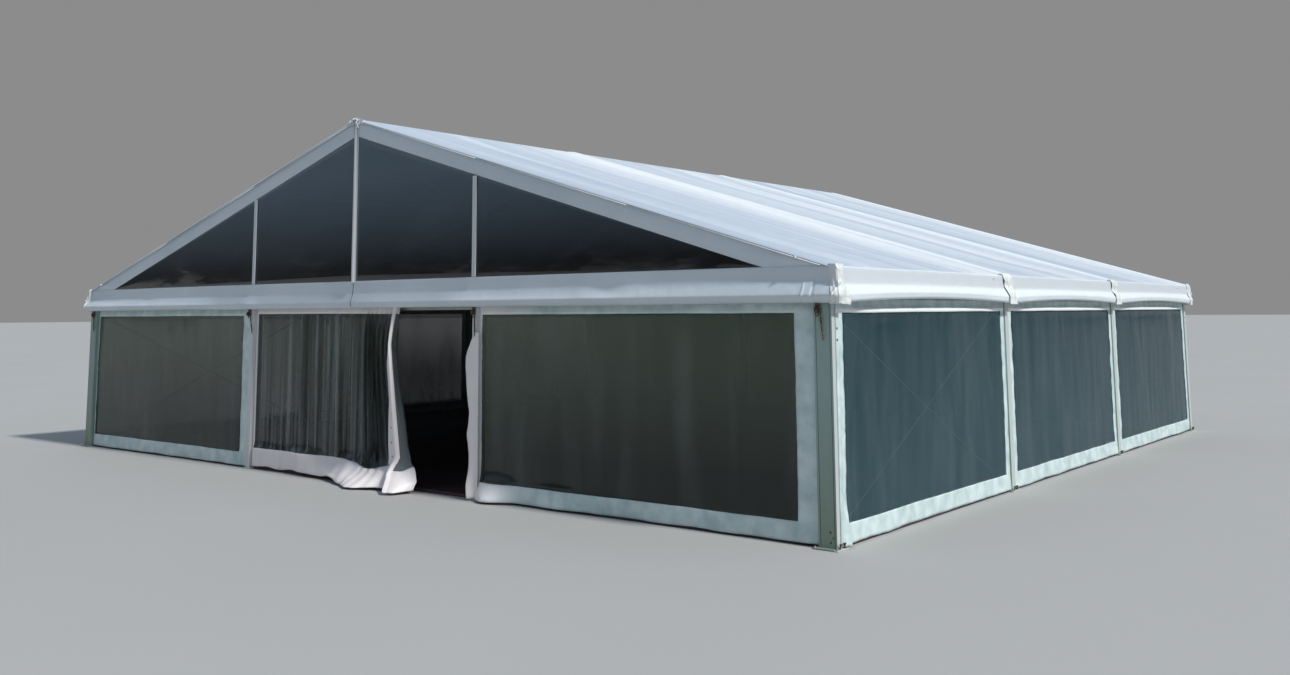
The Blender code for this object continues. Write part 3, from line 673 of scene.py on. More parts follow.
def build_joint_flap(index, side):
    """The flap that hangs over the joint of two side valances, leaning and folded across."""
    y = FRAME_YS[index]
    seed = index * 2 + side
    name = f"joint_flap_{HANDS[side]}_{index + 1}"
    drops = [row[0] for row in VALANCE_PROFILE[:12]]

    def point(v, b):
        down = b * (FLAP_FOOT + FLAP_HEAD) - FLAP_HEAD
        middle = -0.145 + 0.045 * b + 0.008 * rough(b * 5, 1.0, seed)
        width = 0.155 - 0.05 * smooth(0.0, 1.0, b) + 0.006 * smooth(0.88, 1.0, b)
        yy = y + middle + v * width
        phase = 3.0 * v + 6.5 * b
        fold = 0.003 * math.sin(phase * 1.9 + seed) + 0.003 * math.sin(phase * 4.1 + 2 * seed)
        off_crease = v - 1.7 * (b - 0.45)
        fold += 0.009 * bell(off_crease, 0.0, 0.16) - 0.006 * bell(off_crease, -0.45, 0.14)
        rise = 0.018 + fold * smooth(0.05, 0.25, b) + 0.006 * (1 - v * v)
        rise += 0.006 * smooth(0.9, 1.0, b) * (0.5 + 0.5 * v)
        if down < 0:
            x = EAVE_X + down * math.cos(PITCH)
            return Vector((side * x, yy, roof_z(x))) + off_roof(side, 0.016 + 0.01 * (1 - v * v))
        reach = min(down, drops[-1] - 1e-4)
        k = max(i for i, drop in enumerate(drops) if drop <= reach)
        share = (reach - drops[k]) / (VALANCE_PROFILE[k + 1][0] - drops[k])
        base = valance_point(side, k + share, 0.0, y, seed)
        turn = smooth(0.0, 0.03, down)
        return Vector((base.x + side * rise * (0.5 + 0.5 * turn), yy, EAVE_Z - down + 0.012 * (1 - turn)))

    bm = sheet_grid(steps(-1.0, (1.0, 22)), steps(1.0, (0.0, 44)), point, turned=side < 0)
    finish_sheet(name, bm, [CORNER_WHITE], "roof_membrane", (0.29, 0.42), ["roof_cover_1_sheet"], held="hung")


# The rail under the covers' front lip: its lengths and its knobs' place across, and the eyelets' y and z
RAIL_LENGTHS = ((0.12, 2.46), (2.48, 4.93), (4.95, 7.4))
RAIL_UNDER_ROOF = 0.036
KNOB_X = 7.122
EYELETS = ((-2.833, 2.663), (1.617, 2.652), (6.054, 2.654))


def build_rake_trim():
    """The pale rail under the covers' front lip, with its end knobs."""
    bm = bmesh.new()
    y = FRONT_FACE - 0.026
    for side in (-1, 1):
        for ends in RAIL_LENGTHS:
            near, far = ((side * x, y, roof_z(x) - RAIL_UNDER_ROOF) for x in ends)
            add_rod(bm, near, far, 0.007, 10)
        knob = Vector((side * KNOB_X, y - 0.006, roof_z(KNOB_X) - 0.034))
        add_rod(bm, knob, knob - Vector((0, 0.022, 0)), 0.017, 14, 0.013)
    finish_piece("rake_trim", bm, [PALE_FINISH])


def build_valance_eyelets():
    """The eyelets in the side valances."""
    bm = bmesh.new()
    for y, z in EYELETS:
        for side in (-1, 1):
            add_ring(bm, (side * (EAVE_X + 0.01), y, z), (side, 0, 0.1), 0.012, 0.005, 16)
            add_rod(bm, (side * (EAVE_X + 0.004), y, z), (side * (EAVE_X + 0.008), y, z), 0.009)
    finish_piece("valance_eyelets", bm, [PALE_FINISH])


# Gable ends

# Where the front band's last pleat and the seam beside the corner are
BAND_PLEAT_X = 7.215
BAND_SEAM_X = 7.325


def band_offset(x, z, seed, front):
    """How far a gable's lower band stands out at a place."""
    drop = GABLE_SILL - z
    start = BAND_START
    tilt = 1.0
    if front:
        start = along(BAND_START_BY_X, x) + 0.05 * bell(x, 4.61, 0.22) + 0.02 * bell(x, -5.53, 0.2)
        tilt = along(BAND_TILT_BY_X, x)
    read = along([(0.0, 0.0), (start, BAND_START), (BAND_CREASE, BAND_CREASE), (1.0, 1.0)], drop)
    out = along(GABLE_PROFILE, read) * tilt
    out += 0.004 * rough(x * 2.6, z * 6, seed + 1) * smooth(0.0, 0.1, drop)
    out += 0.0016 * rough(x * 11.0, z * 12, seed + 2)
    if front:
        out += 0.009 * bell(x, BAND_PLEAT_X, 0.012) * smooth(0.12, 0.18, drop)
        out -= 0.018 * bell(x, BAND_SEAM_X, 0.007)
    return out


def gable_levels(x):
    """The levels up a gable at a place: its band's top, its window's top and the border's top."""
    top = roof_z(x) - 0.008
    sill = min(GABLE_SILL, top - 0.004)
    inner = max(sill, min(top - 0.004, GABLE_PEAK + 0.0003 - SLOPE * (abs(x) - KING_HALF_WIDTH)))
    return sill, inner, top


def build_gable_half(side):
    """Half of the front gable: a white band and a sloping border with clear film between them."""
    seed = 11 + side
    near_x = KING_HIGH.x + 0.0003
    tip = GABLE_TIP_X
    xs = steps(0.007, (near_x, 3), (tip, 150), (7.16, 20), (7.33, 17), (EAVE_X, 12))
    rows = steps(0.0, (1.0, 34), (2.0, 24), (3.0, 10))

    def point(x, row):
        sill, inner, top = gable_levels(x)
        if row <= 1:
            z = VALANCE_Z + (sill - VALANCE_Z) * row
            z += 0.01 * smooth(0.15, 0.5, x / EAVE_X) * rough(x * 0.6, 3.0, seed) * (1 - row)
            out = band_offset(side * x, z, seed, True)
        elif row <= 2:
            z = sill + (inner - sill) * (row - 1)
            belly = math.sin(math.pi * (row - 1)) * smooth(0.0, 0.4, x)
            out = 0.01 * belly * (0.4 + rough(x * 0.7, z * 0.9, seed + 5))
            out += 0.003 * rough(x * 3.0, z * 1.2, seed + 6) * belly
        else:
            z = inner + (top - inner) * (row - 2)
            edge = smooth(2.75, 3.0, row)
            out = 0.006 * bell(row, 2.5, 0.3) + 0.004 * rough(x * 2.2, row * 2, seed + 7)
            out += 0.003 * rough(x * 12.0, row, seed + 8) * edge - 0.004 * edge
        if x < near_x:
            out += 0.006 * (1 - x / near_x) * smooth(1.0, 0.2, row)
        return Vector((side * x, GABLE_Y - 0.002 - max(-0.001, out), z))

    def is_window(x, row):
        return near_x < x < tip and 1 < row < 2

    def is_border(x, row):
        if row > 1 and (x < near_x or roof_z(x) - 0.012 < GABLE_SILL):
            return False
        return not (1 < row < 2)

    hand = HANDS[side]
    border = f"gable_border_{hand}"
    finish_sheet(border + "_sheet", sheet_grid(xs, rows, point, is_border, side < 0), [WALL_WHITE],
                 "wall_membrane", (0.38, 12.2), ["rafter_right_1", "king_post_profile"], [border])
    wide, high = tip - near_x, GABLE_PEAK - GABLE_SILL
    finish_sheet(f"gable_window_{hand}_film", sheet_grid(xs, rows, point, is_window, side < 0), [GABLE_FILM],
                 "clear_membrane", (round(wide, 2), round(high, 2)), [border + "_sheet"],
                 [f"gable_window_{hand}"], FILM, area=round(wide * high / 2, 2))


# The strips over the gable's uprights, from x to x, and the king post's section from its left edge on
GABLE_STRIPS = ((2.408, 2.478), (-2.442, -2.372))
KING_HALF_WIDTH = 0.05
KING_SECTION = [
    (-0.05, 0.0), (-0.05, 0.006), (-0.02, 0.008), (-0.016, 0.024), (-0.008, 0.034), (0.003, 0.038),
    (0.013, 0.038), (0.022, 0.033), (0.028, 0.022), (0.031, 0.008), (0.05, 0.006), (0.05, 0.0),
]


def build_gable_strips():
    """The profiles that hold the gable's film against the uprights, with a groove down the middle."""
    bm = bmesh.new()
    for x0, x1 in GABLE_STRIPS:
        middle = (x0 + x1) / 2
        top = GABLE_PEAK - SLOPE * (max(abs(x0), abs(x1)) - KING_HALF_WIDTH) - 0.004
        for near, far in ((x0, middle - 0.004), (middle + 0.004, x1)):
            add_block(bm, (near, GABLE_Y - 0.024, GABLE_SILL + 0.004), (far, GABLE_Y - 0.014, top), 0.003)
        low = (x0 + 0.004, GABLE_Y - 0.016, GABLE_SILL + 0.006)
        add_block(bm, low, (x1 - 0.004, GABLE_Y - 0.012, top - 0.002))
    finish_piece("gable_strips", bm, [PALE_FINISH])


def build_king_post():
    """The strip between the gable's halves: a flat flange and a rounded channel down its middle."""
    bm = bmesh.new()
    low = KING_LOW.z
    rings = []
    for z, inset in ((low, 0.003), (low + 0.004, 0.0), (roof_z(KING_HALF_WIDTH) - 0.02, 0.0)):
        narrow = 1 - inset / KING_HALF_WIDTH
        back = FRONT_FACE - 0.0003
        rings.append([(x * narrow, back - max(0.0, out - inset), z) for x, out in KING_SECTION])
    add_skin(bm, rings, smooth=False)
    bmesh.ops.recalc_face_normals(bm, faces=bm.faces)
    finish_piece("king_post_profile", bm, [PALE_FINISH], ["king_post"])


def build_back():
    """The plain back: a triangle with its valance band above three wall fields."""
    y = -GABLE_Y
    xs = steps(EAVE_X, (-EAVE_X, 240))
    rows = steps(0.0, (1.0, 30), (2.0, 46))

    def gable_point(x, row):
        sill, _, top = gable_levels(x)
        if row <= 1:
            z = VALANCE_Z + (sill - VALANCE_Z) * row
            out = band_offset(x, z, 31, False)
        else:
            z = sill + (top - sill) * (row - 1)
            out = ruffle(x, z, 33, (0.012, 0.5, 0.8), (0.003, 3, 3))
            out += 0.006 * math.sin(x * 5.3 + 2.0 * z) * bell(z, GABLE_SILL, 0.5)
        return Vector((x, y + 0.003 + max(0.0, out), z))

    flat = (round(2 * EAVE_X, 2), round(RIDGE_Z - VALANCE_Z, 2))
    area = 2 * EAVE_X * (VALANCE_DROP + (RIDGE_Z - EAVE_Z) / 2)
    finish_sheet("back_gable_sheet", sheet_grid(xs, rows, gable_point), [WALL_WHITE, INNER_PAINTED_SHADE], "wall_membrane",
                 flat, ["rafter_left_4", "rafter_right_4"], ["back_gable"], area=round(area, 2))

    def wall_point(x, z):
        out = ruffle(x, z, 41, (0.01, 0.9, 0.7), (0.005, 5.0, 0.9))
        out += 0.004 * math.sin(x * 9 + 3 * rough(x, z, 43)) * bell(z, WALL_TOP, 0.5)
        out += 0.03 * smooth(0.5, 0.0, z) * (0.5 + 0.5 * rough(x * 2.2, 1.0, 44))
        for seam in (-UPRIGHT_X, UPRIGHT_X):
            out *= 1 - bell(x, seam, 0.04)
            out += 0.007 * bell(x, seam, 0.018)
        return Vector((x, y + 0.001 + max(0.0, out) - (0.004 if z > VALANCE_Z - 0.03 else 0), z))

    bm = sheet_grid(steps(LEG_X, (-LEG_X, 230)), steps(WALL_BOTTOM, (VALANCE_Z + 0.02, 44)), wall_point)
    flat = (round(2 * LEG_X, 2), round(VALANCE_Z - WALL_BOTTOM, 2))
    finish_sheet("back_wall_sheet", bm, [WALL_WHITE, INNER_PAINTED_SHADE], "wall_membrane", flat,
                 ["leg_left_4", "leg_right_4", "upright_back_left", "upright_back_right"], ["back_wall"])


# Wall panels

def panel_ripple(u, v, edges, window, seed, flare):
    """How far a wall panel stands out: wavy in its borders, long waves in its film, loose at its foot."""
    u0, u1, v0, v1 = edges
    w0, w1, sill, top = window
    hold = smooth(0.0, 0.05, u - u0) * smooth(0.0, 0.05, u1 - u)
    out = 0.0035 + ruffle(u, v, seed, (0.007, 1.1, 0.9), (0.0035, 6.0, 1.2))
    border = max(smooth(w0 + 0.05, w0 - 0.03, u), smooth(w1 - 0.05, w1 + 0.03, u))
    out += 0.011 * border * (0.3 + rough(u * 3.0, v * 4.5, seed + 2))
    out += 0.008 * border * rough(u * 9.0, v * 13.0, seed + 3)
    foot = smooth(sill + 0.08, v0, v)
    out += foot * (0.012 + 0.022 * rough(u * 1.9, 0.3, seed + 4) + 0.01 * rough(u * 6.0, v * 3, seed + 5))
    out += flare(u, v)
    return max(0.0005, out) * hold * (1 - 0.8 * smooth(top + 0.02, v1, v))


def no_flare(u, v):
    return 0.0


def kicked_skirt(u, v):
    """The front's right skirt, pushed out beside the door."""
    return smooth(0.4, 0.02, v) ** 1.5 * (0.2 * bell(u, 2.78, 0.26) + 0.05 * bell(u, 3.8, 0.4))


def sunlit_welt(u, v):
    """The seam above a side window, bulging out between the legs."""
    part = ((u - FRAME_YS[0]) / BAY) % 1.0
    between_legs = smooth(0.06, 0.16, part) * smooth(0.97, 0.86, part)
    ragged = 0.034 + 0.006 * rough(u * 14, 2.0, 310) + 0.005 * rough(u * 3, 4.0, 311)
    return ragged * bell(v, WINDOW_TOP + 0.012, 0.03) * between_legs


def crumpled_corner(u, v):
    """The side border beside the front corner, creased by its tie and bulging at its foot."""
    near = bell(u, FRAME_YS[0] + 0.13, 0.06)
    crumples = 0.016 * (0.4 + rough(u * 9, v * 8.0, 300)) + 0.006 * rough(u * 22, v * 19.0, 301)
    return sunlit_welt(u, v) + near * (crumples + 0.055 * smooth(0.5, 0.05, v))


def over_leg(u):
    """How far the border beside the front corner stands out, where it lies over the leg's side."""
    return 0.0275 * smooth(FRAME_YS[0] + 0.095, FRAME_YS[0] + HALF_WIDTH + 0.006, u)


def build_panel(stem, place, edges, window, seed, film, flare, near, turned=False):
    """A white border round a clear film, as two sheets that share one edge, hung between two supports."""
    u0, u1, v0, v1 = edges
    w0, w1, sill, top = window
    us = steps(u0, (w0, 8), (w1, max(24, int((w1 - w0) / 0.05))), (u1, 8))
    vs = steps(v0, (sill, 8), (top, 46), (v1, 5))

    def point(u, v):
        wave = 0.007 * rough(v * 3.1, 0.0, seed + 6) + 0.003 * rough(v * 11.0, 0.0, seed + 7)
        shift = wave * (bell(u, w0, 0.05) * smooth(u0, w0, u) + bell(u, w1, 0.05) * smooth(u1, w1, u))
        ripple = 0.005 * rough(u * 2.1, 0.0, seed + 8) + 0.002 * rough(u * 9.0, 1.0, seed + 9)
        lift = ripple * (bell(v, sill, 0.06) + 0.6 * bell(v, top, 0.04))
        lift += 0.01 * (0.5 + rough(u * 2.0, 5.0, seed)) * smooth(v0 + 0.1, v0, v)
        return place(u + shift, v + lift, panel_ripple(u, v, edges, window, seed, flare))

    def is_window(u, v):
        return w0 < u < w1 and sill < v < top

    def is_border(u, v):
        return not is_window(u, v)

    border, pane = stem.replace("*", "border"), stem.replace("*", "window")
    round_it = 2 * (u1 - u0 + v1 - v0)
    area = (u1 - u0) * (v1 - v0) - (w1 - w0) * (top - sill)
    finish_sheet(border + "_sheet", sheet_grid(us, vs, point, is_border, turned), [BORDER_WHITE],
                 "wall_membrane", (round(area / round_it, 3), round(round_it, 2)), near, [border])
    finish_sheet(pane + "_film", sheet_grid(us, vs, point, is_window, turned), [film], "clear_membrane",
                 (round(w1 - w0, 2), round(top - sill, 2)), [border + "_sheet"], [pane], FILM)


def panel_reach(stem, axis):
    """A panel's outer edges and its window's, along an axis and then up, read from its two nodes."""
    edges = [corner[axis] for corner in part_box(stem.replace("*", "border"))]
    window = [corner[axis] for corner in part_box(stem.replace("*", "window"))]
    return [*edges, WALL_BOTTOM, WALL_TOP], [*window, WINDOW_SILL, WINDOW_TOP]


def build_side_walls():
    """The bordered windows between the legs of both sides."""
    for bay in range(len(FRAME_YS) - 1):
        edges, window = panel_reach(f"wall_*_right_{bay + 1}", 1)
        if bay == 0:
            edges[0] = FRAME_YS[0] + 0.008
        flare = crumpled_corner if bay == 0 else sunlit_welt
        for side, hand, seed in ((1, "right", 50), (-1, "left", 90)):
            near = [f"leg_{hand}_{bay + 1}", f"leg_{hand}_{bay + 2}"]

            def place(u, v, out):
                return Vector((side * (SIDE_WALL_X + 0.002 + over_leg(u) + out), u, v))

            film = FAR_FILM if side < 0 < bay else SIDE_FILM
            build_panel(f"wall_*_{hand}_{bay + 1}", place, edges, window, seed + 11 * bay, film, flare, near,
                        turned=side < 0)


def build_front_walls():
    """The bordered windows of the front's outer bays."""

    def place(u, v, out):
        return Vector((u, FRAME_YS[0] - 0.002 - out, v))

    for name, seed, flare in (("right", 130, kicked_skirt), ("left", 150, no_flare)):
        stem = f"front_wall_*_{name}"
        build_panel(stem, place, *panel_reach(stem, 0), seed, WALL_FILM, flare,
                    [f"upright_front_{name}", f"leg_{name}_1"])


# Doorway

# Along the curtain's cloth: its width, where it gathers and turns back, and its white parts' widths
CURTAIN_CLOTH = 4.75
CURTAIN_GATHER = 2.7
CURTAIN_TURN = 4.3
CURTAIN_STRIP = 0.24
CURTAIN_SKIRT = 0.31
CURTAIN_TOP_BORDER = 0.13
CURTAIN_SIDE = 0.09
# Its hem's height, and the place across the doorway where its gathers start
CURTAIN_FOOT = 0.035
GATHER_X = 0.26

# Places across the doorway by height: the bundle's outer edge and the edges of its white strip
BUNDLE_EDGE = [(0.02, 1.47), (0.14, 1.49), (0.29, 1.36), (0.355, 1.263), (0.56, 1.175), (0.874, 1.099),
               (1.139, 1.025), (1.406, 0.955), (1.86, 0.897), (2.3, 0.952), (2.42, 0.977)]
STRIP_RIGHT = [(0.02, 1.42), (0.12, 1.34), (0.351, 1.121), (0.876, 1.038), (1.409, 0.955), (1.61, 0.922),
               (1.86, 0.892), (2.26, 0.94), (2.42, 0.96)]
STRIP_LEFT = [(0.02, 1.16), (0.14, 1.06), (0.334, 0.903), (0.6, 0.882), (0.867, 0.873), (1.136, 0.879),
              (1.406, 0.845), (1.61, 0.817), (2.26, 0.867), (2.42, 0.89)]
# Where the curtain's skirt kicks out most
LOBE_X = 0.48
LOBE_WIDTH = 0.3


def curtain_point(s, z):
    """A point of the curtain: s along its cloth from the upright, z the height it would hang at."""
    y = FRAME_YS[0]
    start_x = -UPRIGHT_X + UPRIGHT_HALF_WIDTH - SLOT_TUCK
    fall = smooth(WALL_TOP, WALL_TOP - 0.5, z)
    skirt = smooth(CURTAIN_SKIRT + 0.1, CURTAIN_SKIRT - 0.04, z)
    foot = smooth(CURTAIN_SKIRT + 0.02, 0.0, z)
    edge = along(BUNDLE_EDGE, z)
    if s <= CURTAIN_GATHER:
        t = s / CURTAIN_GATHER
        x = start_x + (GATHER_X - start_x) * t
        lobe = bell(x, LOBE_X, LOBE_WIDTH)
        size = (0.006 + 0.014 * smooth(0.5, 1.0, t)) * (1 - 0.6 * skirt)
        out = 0.014 + size * math.sin(s * 21 + 1.5 * rough(s * 3, z * 0.4, 60))
        wide = math.sin(0.9 + s * 5.2 + 0.6 * rough(s * 1.4, 1.0, 9)) * smooth(0.1, 0.5, t) * (1 - lobe)
        out += skirt * (0.035 + 0.035 * wide + 0.09 * lobe)
        out += foot * (0.22 * smooth(0.4, 1.0, t) + 0.12 * lobe)
        drop = 0.1 * lobe
    elif s <= CURTAIN_TURN:
        t = (s - CURTAIN_GATHER) / (CURTAIN_TURN - CURTAIN_GATHER)
        x = GATHER_X + (edge - GATHER_X) * (t ** 1.15)
        lobe = bell(x, LOBE_X, LOBE_WIDTH)
        size = 0.058 * (0.3 + 0.7 * fall) * (1 - 0.85 * skirt) * (1 - 0.45 * smooth(0.75, 1.0, t))
        out = 0.016 + size * math.sin(2 * math.pi * 7 * t + 1.0 * rough(t * 4, z * 0.5, 61))
        out += 0.012 * rough(t * 9, z * 1.1, 62)
        out += skirt * (0.04 + 0.09 * lobe) + foot * (0.22 + 0.12 * lobe) * (1 - 0.5 * smooth(0.6, 1.0, t))
        drop = 0.1 * lobe
    else:
        turned = (s - CURTAIN_TURN) / (CURTAIN_CLOTH - CURTAIN_TURN - CURTAIN_STRIP)
        right, left = along(STRIP_RIGHT, z) - 0.1 * skirt, along(STRIP_LEFT, z)
        if turned < 1:
            x = edge + (right - edge) * turned
            out = 0.03 + 0.08 * turned + 0.006 * math.sin(turned * 9 + 2)
            front = smooth(0.0, 0.5, turned)
        else:
            t = (s - CURTAIN_CLOTH + CURTAIN_STRIP) / CURTAIN_STRIP
            x = right + (left - right) * t
            slack = math.sqrt(max(0.0, CURTAIN_STRIP ** 2 - (right - left) ** 2)) / 4
            out = 0.11 + 0.4 * slack * math.sin(2 * math.pi * t) + 0.012 * math.sin(math.pi * t)
            out += 0.005 * rough(t * 3, z * 2.2, 64)
            front = 1 - smooth(0.2, 1.0, t)
        out = 0.02 + (out - 0.02) * (0.6 + 0.4 * fall)
        out += skirt * (0.02 + 0.1 * front) + foot * (0.14 + 0.12 * front)
        drop = 0.07 * front
    hem = smooth(0.12, CURTAIN_FOOT, z)
    z -= drop * skirt * min(1.0, z / CURTAIN_SKIRT)
    z += 0.045 * hem * (0.4 + rough(s * 2.1, 3.0, 63)) * (1 - 0.7 * smooth(2.2, 2.9, s))
    z -= 0.012 * smooth(2.0, WALL_TOP, z) * smooth(1.5, 4.0, s)
    hold = smooth(0.0, 0.1, s)
    return Vector((x, y - out * hold, max(0.012, z)))


def build_curtain():
    """The doorway's curtain drawn to the left: clear film in a white border, bunched at its free edge."""
    count = 560
    step = CURTAIN_CLOTH / count
    strip_start = int((CURTAIN_CLOTH - CURTAIN_STRIP) / step)
    film_top = WALL_TOP - CURTAIN_TOP_BORDER
    zs = steps(CURTAIN_FOOT, (CURTAIN_SKIRT - 0.04, 12), (CURTAIN_SKIRT, 3), (CURTAIN_SKIRT + 0.06, 4),
               (film_top, 42), (WALL_TOP, 4))

    def point(k, z):
        return curtain_point(k * step, z)

    def is_white(k, z):
        return z > film_top or z < CURTAIN_SKIRT or k * step < CURTAIN_SIDE or k > strip_start

    ss = list(range(count + 1))
    white = finish_piece("door_curtain_sheet", sheet_grid(ss, zs, point, is_white), [CURTAIN_WHITE],
                         ["door_curtain"], CLOTH)
    film = finish_piece("door_curtain_film", sheet_grid(ss, zs, point, lambda k, z: not is_white(k, z)),
                        [CURTAIN_FILM], thickness=FILM)


# The eyelets down the curtain's free edge: their heights and how far from it, and the curtain's rail
CURTAIN_EYELETS = (2.07, 1.89, 1.71, 1.53, 1.34, 1.16, 0.97, 0.79, 0.6, 0.42)
EYELET_INSET = 0.09
RAIL_HALF = 2.39
RAIL_Z = 2.322


def build_curtain_eyelets():
    """Metal eyelets down the curtain's free edge."""
    bm = bmesh.new()
    s = CURTAIN_CLOTH - EYELET_INSET
    for z in CURTAIN_EYELETS:
        here = curtain_point(s, z)
        across = curtain_point(s + 0.02, z) - curtain_point(s - 0.02, z)
        down = curtain_point(s, z - 0.02) - here
        out = across.cross(down).normalized()
        if out.y > 0:
            out = -out
        add_ring(bm, here + out * 0.001, out, 0.011, 0.004, 14)
        add_rod(bm, here - out * 0.0005, here + out * 0.0025, 0.008)
    finish_piece("curtain_eyelets", bm, [RUST])


def build_curtain_rail():
    """The rail behind the valance that the curtain hangs from."""
    bm = bmesh.new()
    low = (-RAIL_HALF, FRAME_YS[0] + 0.05, RAIL_Z)
    add_block(bm, low, (RAIL_HALF, FRAME_YS[0] + 0.09, PURLIN_Z + 0.002), 0.004)
    finish_piece("curtain_rail", bm, [ALUMINIUM])


# The flap's free edge across the doorway by height, its fold over the upright and its top
FLAP_EDGE = [(0.02, 2.404), (0.18, 2.382), (0.55, 2.383), (0.79, 2.343), (1.055, 2.386), (1.38, 2.332),
             (1.545, 2.317), (1.727, 2.314), (1.8, 2.34), (1.95, 2.415), (2.03, 2.478)]
FLAP_SEAM = 2.533
FLAP_TOP = 2.04


def build_flap():
    """The narrow end of the doorway's other leaf, wavy, folded over the right upright."""
    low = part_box("door_flap")[0].z
    us = steps(0.0, (0.75, 14), (1.0, 5))
    vs = steps(low, (FLAP_TOP, 74))

    def point(u, z):
        edge = along(FLAP_EDGE, z) + 0.004 * rough(z * 9, 0.0, 71)
        x = FLAP_SEAM - (1 - u) * (FLAP_SEAM - edge)
        loose = smooth(0.25, 1.0, 1 - u)
        out = 0.004 + loose * (0.01 + 0.024 * rough(z * 2.6, u * 1.5, 73) + 0.01 * math.sin(z * 8 + 4 * u))
        out += 0.05 * loose * smooth(0.4, 0.0, z) + 0.004 * rough(u * 4, z * 7, 74) * (1 - u)
        out = max(0.003, out + 0.004 * bell(u, 0.93, 0.03))
        return Vector((x, FRONT_FACE - 0.007 - out, z))

    finish_sheet("door_flap_sheet", sheet_grid(us, vs, point), [CURTAIN_WHITE], "wall_membrane",
                 (0.17, round(FLAP_TOP - low, 2)), ["upright_front_right"], ["door_flap"], held="hung")


# Corner covers, apex, fittings

# How far a corner cover reaches along the front and the side, and its side edge by height
CORNER_FRONT = 0.098
CORNER_SIDE = 0.15
CORNER_EDGE = [(0.0, 0.92), (0.22, 0.7), (0.65, 0.94), (0.85, 0.9), (1.0, 0.94)]


def build_corner_cover(side, end):
    """The fabric pulled round a corner over the ends of two valances, with diagonal folds and a foot band."""
    face = -1 if end == "front" else 1
    seed = 80 + side + 5 * face
    y_face = face * (-GABLE_Y)
    bulge = 1.0 if side > 0 else LEFT_VALANCE

    def point(w, b):
        z = EAVE_Z + 0.016 - b * (VALANCE_DROP + 0.024)
        front_under = along(GABLE_PROFILE, max(0.0, GABLE_SILL - z))
        side_under = bulge * along(VALANCE_PROFILE[:14], max(0.0, EAVE_Z - z))
        under = front_under + (side_under - front_under) * smooth(-0.5, 0.3, w)
        under = max(under, 0.03 * smooth(0.8, 0.9, b), 0.034 * smooth(-1.0, -0.6, w) * smooth(0.6, 0.2, w))
        out = 0.01 * (0.6 + 0.4 * rough(w * 2, b * 3, seed))
        out += 0.02 * bell(w, 0.35, 0.35) * bell(b, 0.6, 0.18)
        ridge = b - (0.4 + (0.3 - w) * 0.3)
        out += 0.016 * bell(ridge, 0.0, 0.045) * smooth(0.6, 0.2, w) - 0.006 * bell(ridge, 0.1, 0.06)
        out += 0.005 * math.sin(5.0 * w + 9.0 * b + seed) + 0.003 * math.sin(13 * w - 8 * b)
        out += 0.004 * rough(w * 7, b * 7, seed)
        out += 0.016 * smooth(0.45, 0.9, w) * bell(b, 0.93, 0.07)
        out = under + max(0.005, out)
        x = EAVE_X + out * (0.75 + 0.25 * smooth(-0.2, 0.4, w))
        if w < 0:
            x += w * CORNER_FRONT * (1 - 0.08 * bell(b, 0.45, 0.25))
            y = y_face + face * out
        else:
            y = y_face + face * out * (1 - w) - face * w * CORNER_SIDE * along(CORNER_EDGE, b)
        turn = smooth(0.12, 0.0, b)
        x -= turn * 0.03 * (1 - abs(w))
        z += 0.014 * turn + 0.006 * rough(w * 4, 3.0, seed) * smooth(0.8, 1.0, b)
        return Vector((side * x, y, z - 0.012 * max(0.0, w) * smooth(0.7, 1.0, b)))

    ws = steps(-1.0, (0.0, 18), (1.0, 24))
    bm = sheet_grid(ws, steps(1.0, (0.0, 60)), point, turned=side * face > 0)
    finish_sheet(f"corner_cover_{end}_{HANDS[side]}", bm, [CORNER_WHITE], "roof_membrane", (0.33, 0.39),
                 ["roof_cover_1_sheet" if end == "front" else "roof_cover_3_sheet"])


def build_apex_tufts():
    """The gathered ends of the covers at the front peak."""
    for side in (-1, 1):
        def point(u, v):
            x = side * (0.02 + 0.15 * u)
            z = roof_z(x) + 0.02 - 0.1 * v * (1 - 0.35 * u)
            out = 0.018 + 0.016 * math.sin(11 * u + 3.0 * v + side) + 0.01 * rough(u * 6, v * 5, 5 + side)
            out += 0.02 * smooth(0.6, 1.0, v) * rough(u * 9, 1.0, 8 + side)
            return Vector((x, FRONT_FACE - 0.012 - max(0.002, out), z + 0.008 * rough(u * 8, v * 4, 9)))

        bm = sheet_grid(steps(0.0, (1.0, 20)), steps(1.0, (0.0, 12)), point, turned=side < 0)
        finish_sheet(f"apex_tuft_{HANDS[side]}", bm, [WALL_WHITE], "roof_membrane", (0.18, 0.11),
                     ["ridge_beam"], held="gathered")


def build_apex_tie():
    """The tie round the gathered ends at the peak and the bracket behind it."""
    y = FRONT_FACE
    loop = []
    for k in range(26):
        angle = 2 * math.pi * k / 25
        loop.append(Vector((0.055 * math.cos(angle), y - 0.052 + 0.012 * math.sin(2 * angle),
                            RIDGE_Z - 0.045 + 0.032 * math.sin(angle))))
    tail = [Vector((0.03 + 0.012 * k, y - 0.056 - 0.002 * k, RIDGE_Z - 0.05 - 0.002 * k ** 2))
            for k in range(8)]
    bm = bmesh.new()
    add_tube(bm, loop, 0.006)
    add_tube(bm, tail, 0.005)
    finish_piece("apex_tie", bm, [CURTAIN_WHITE])
    bm = bmesh.new()
    add_block(bm, (-0.03, y - 0.048, RIDGE_Z - 0.075), (0.03, y - 0.04, RIDGE_Z - 0.005), 0.002)
    add_rod(bm, (0, y - 0.06, RIDGE_Z - 0.03), (0, y - 0.04, RIDGE_Z - 0.03), 0.01, 6)
    finish_piece("apex_bracket", bm, [STEEL])


# The hooks under the front valance: their places across and how far their bars lean
HOOKS = ((-7.38, 0.02), (-2.5, 0.08), (2.44, 0.01), (7.35, 0.045))


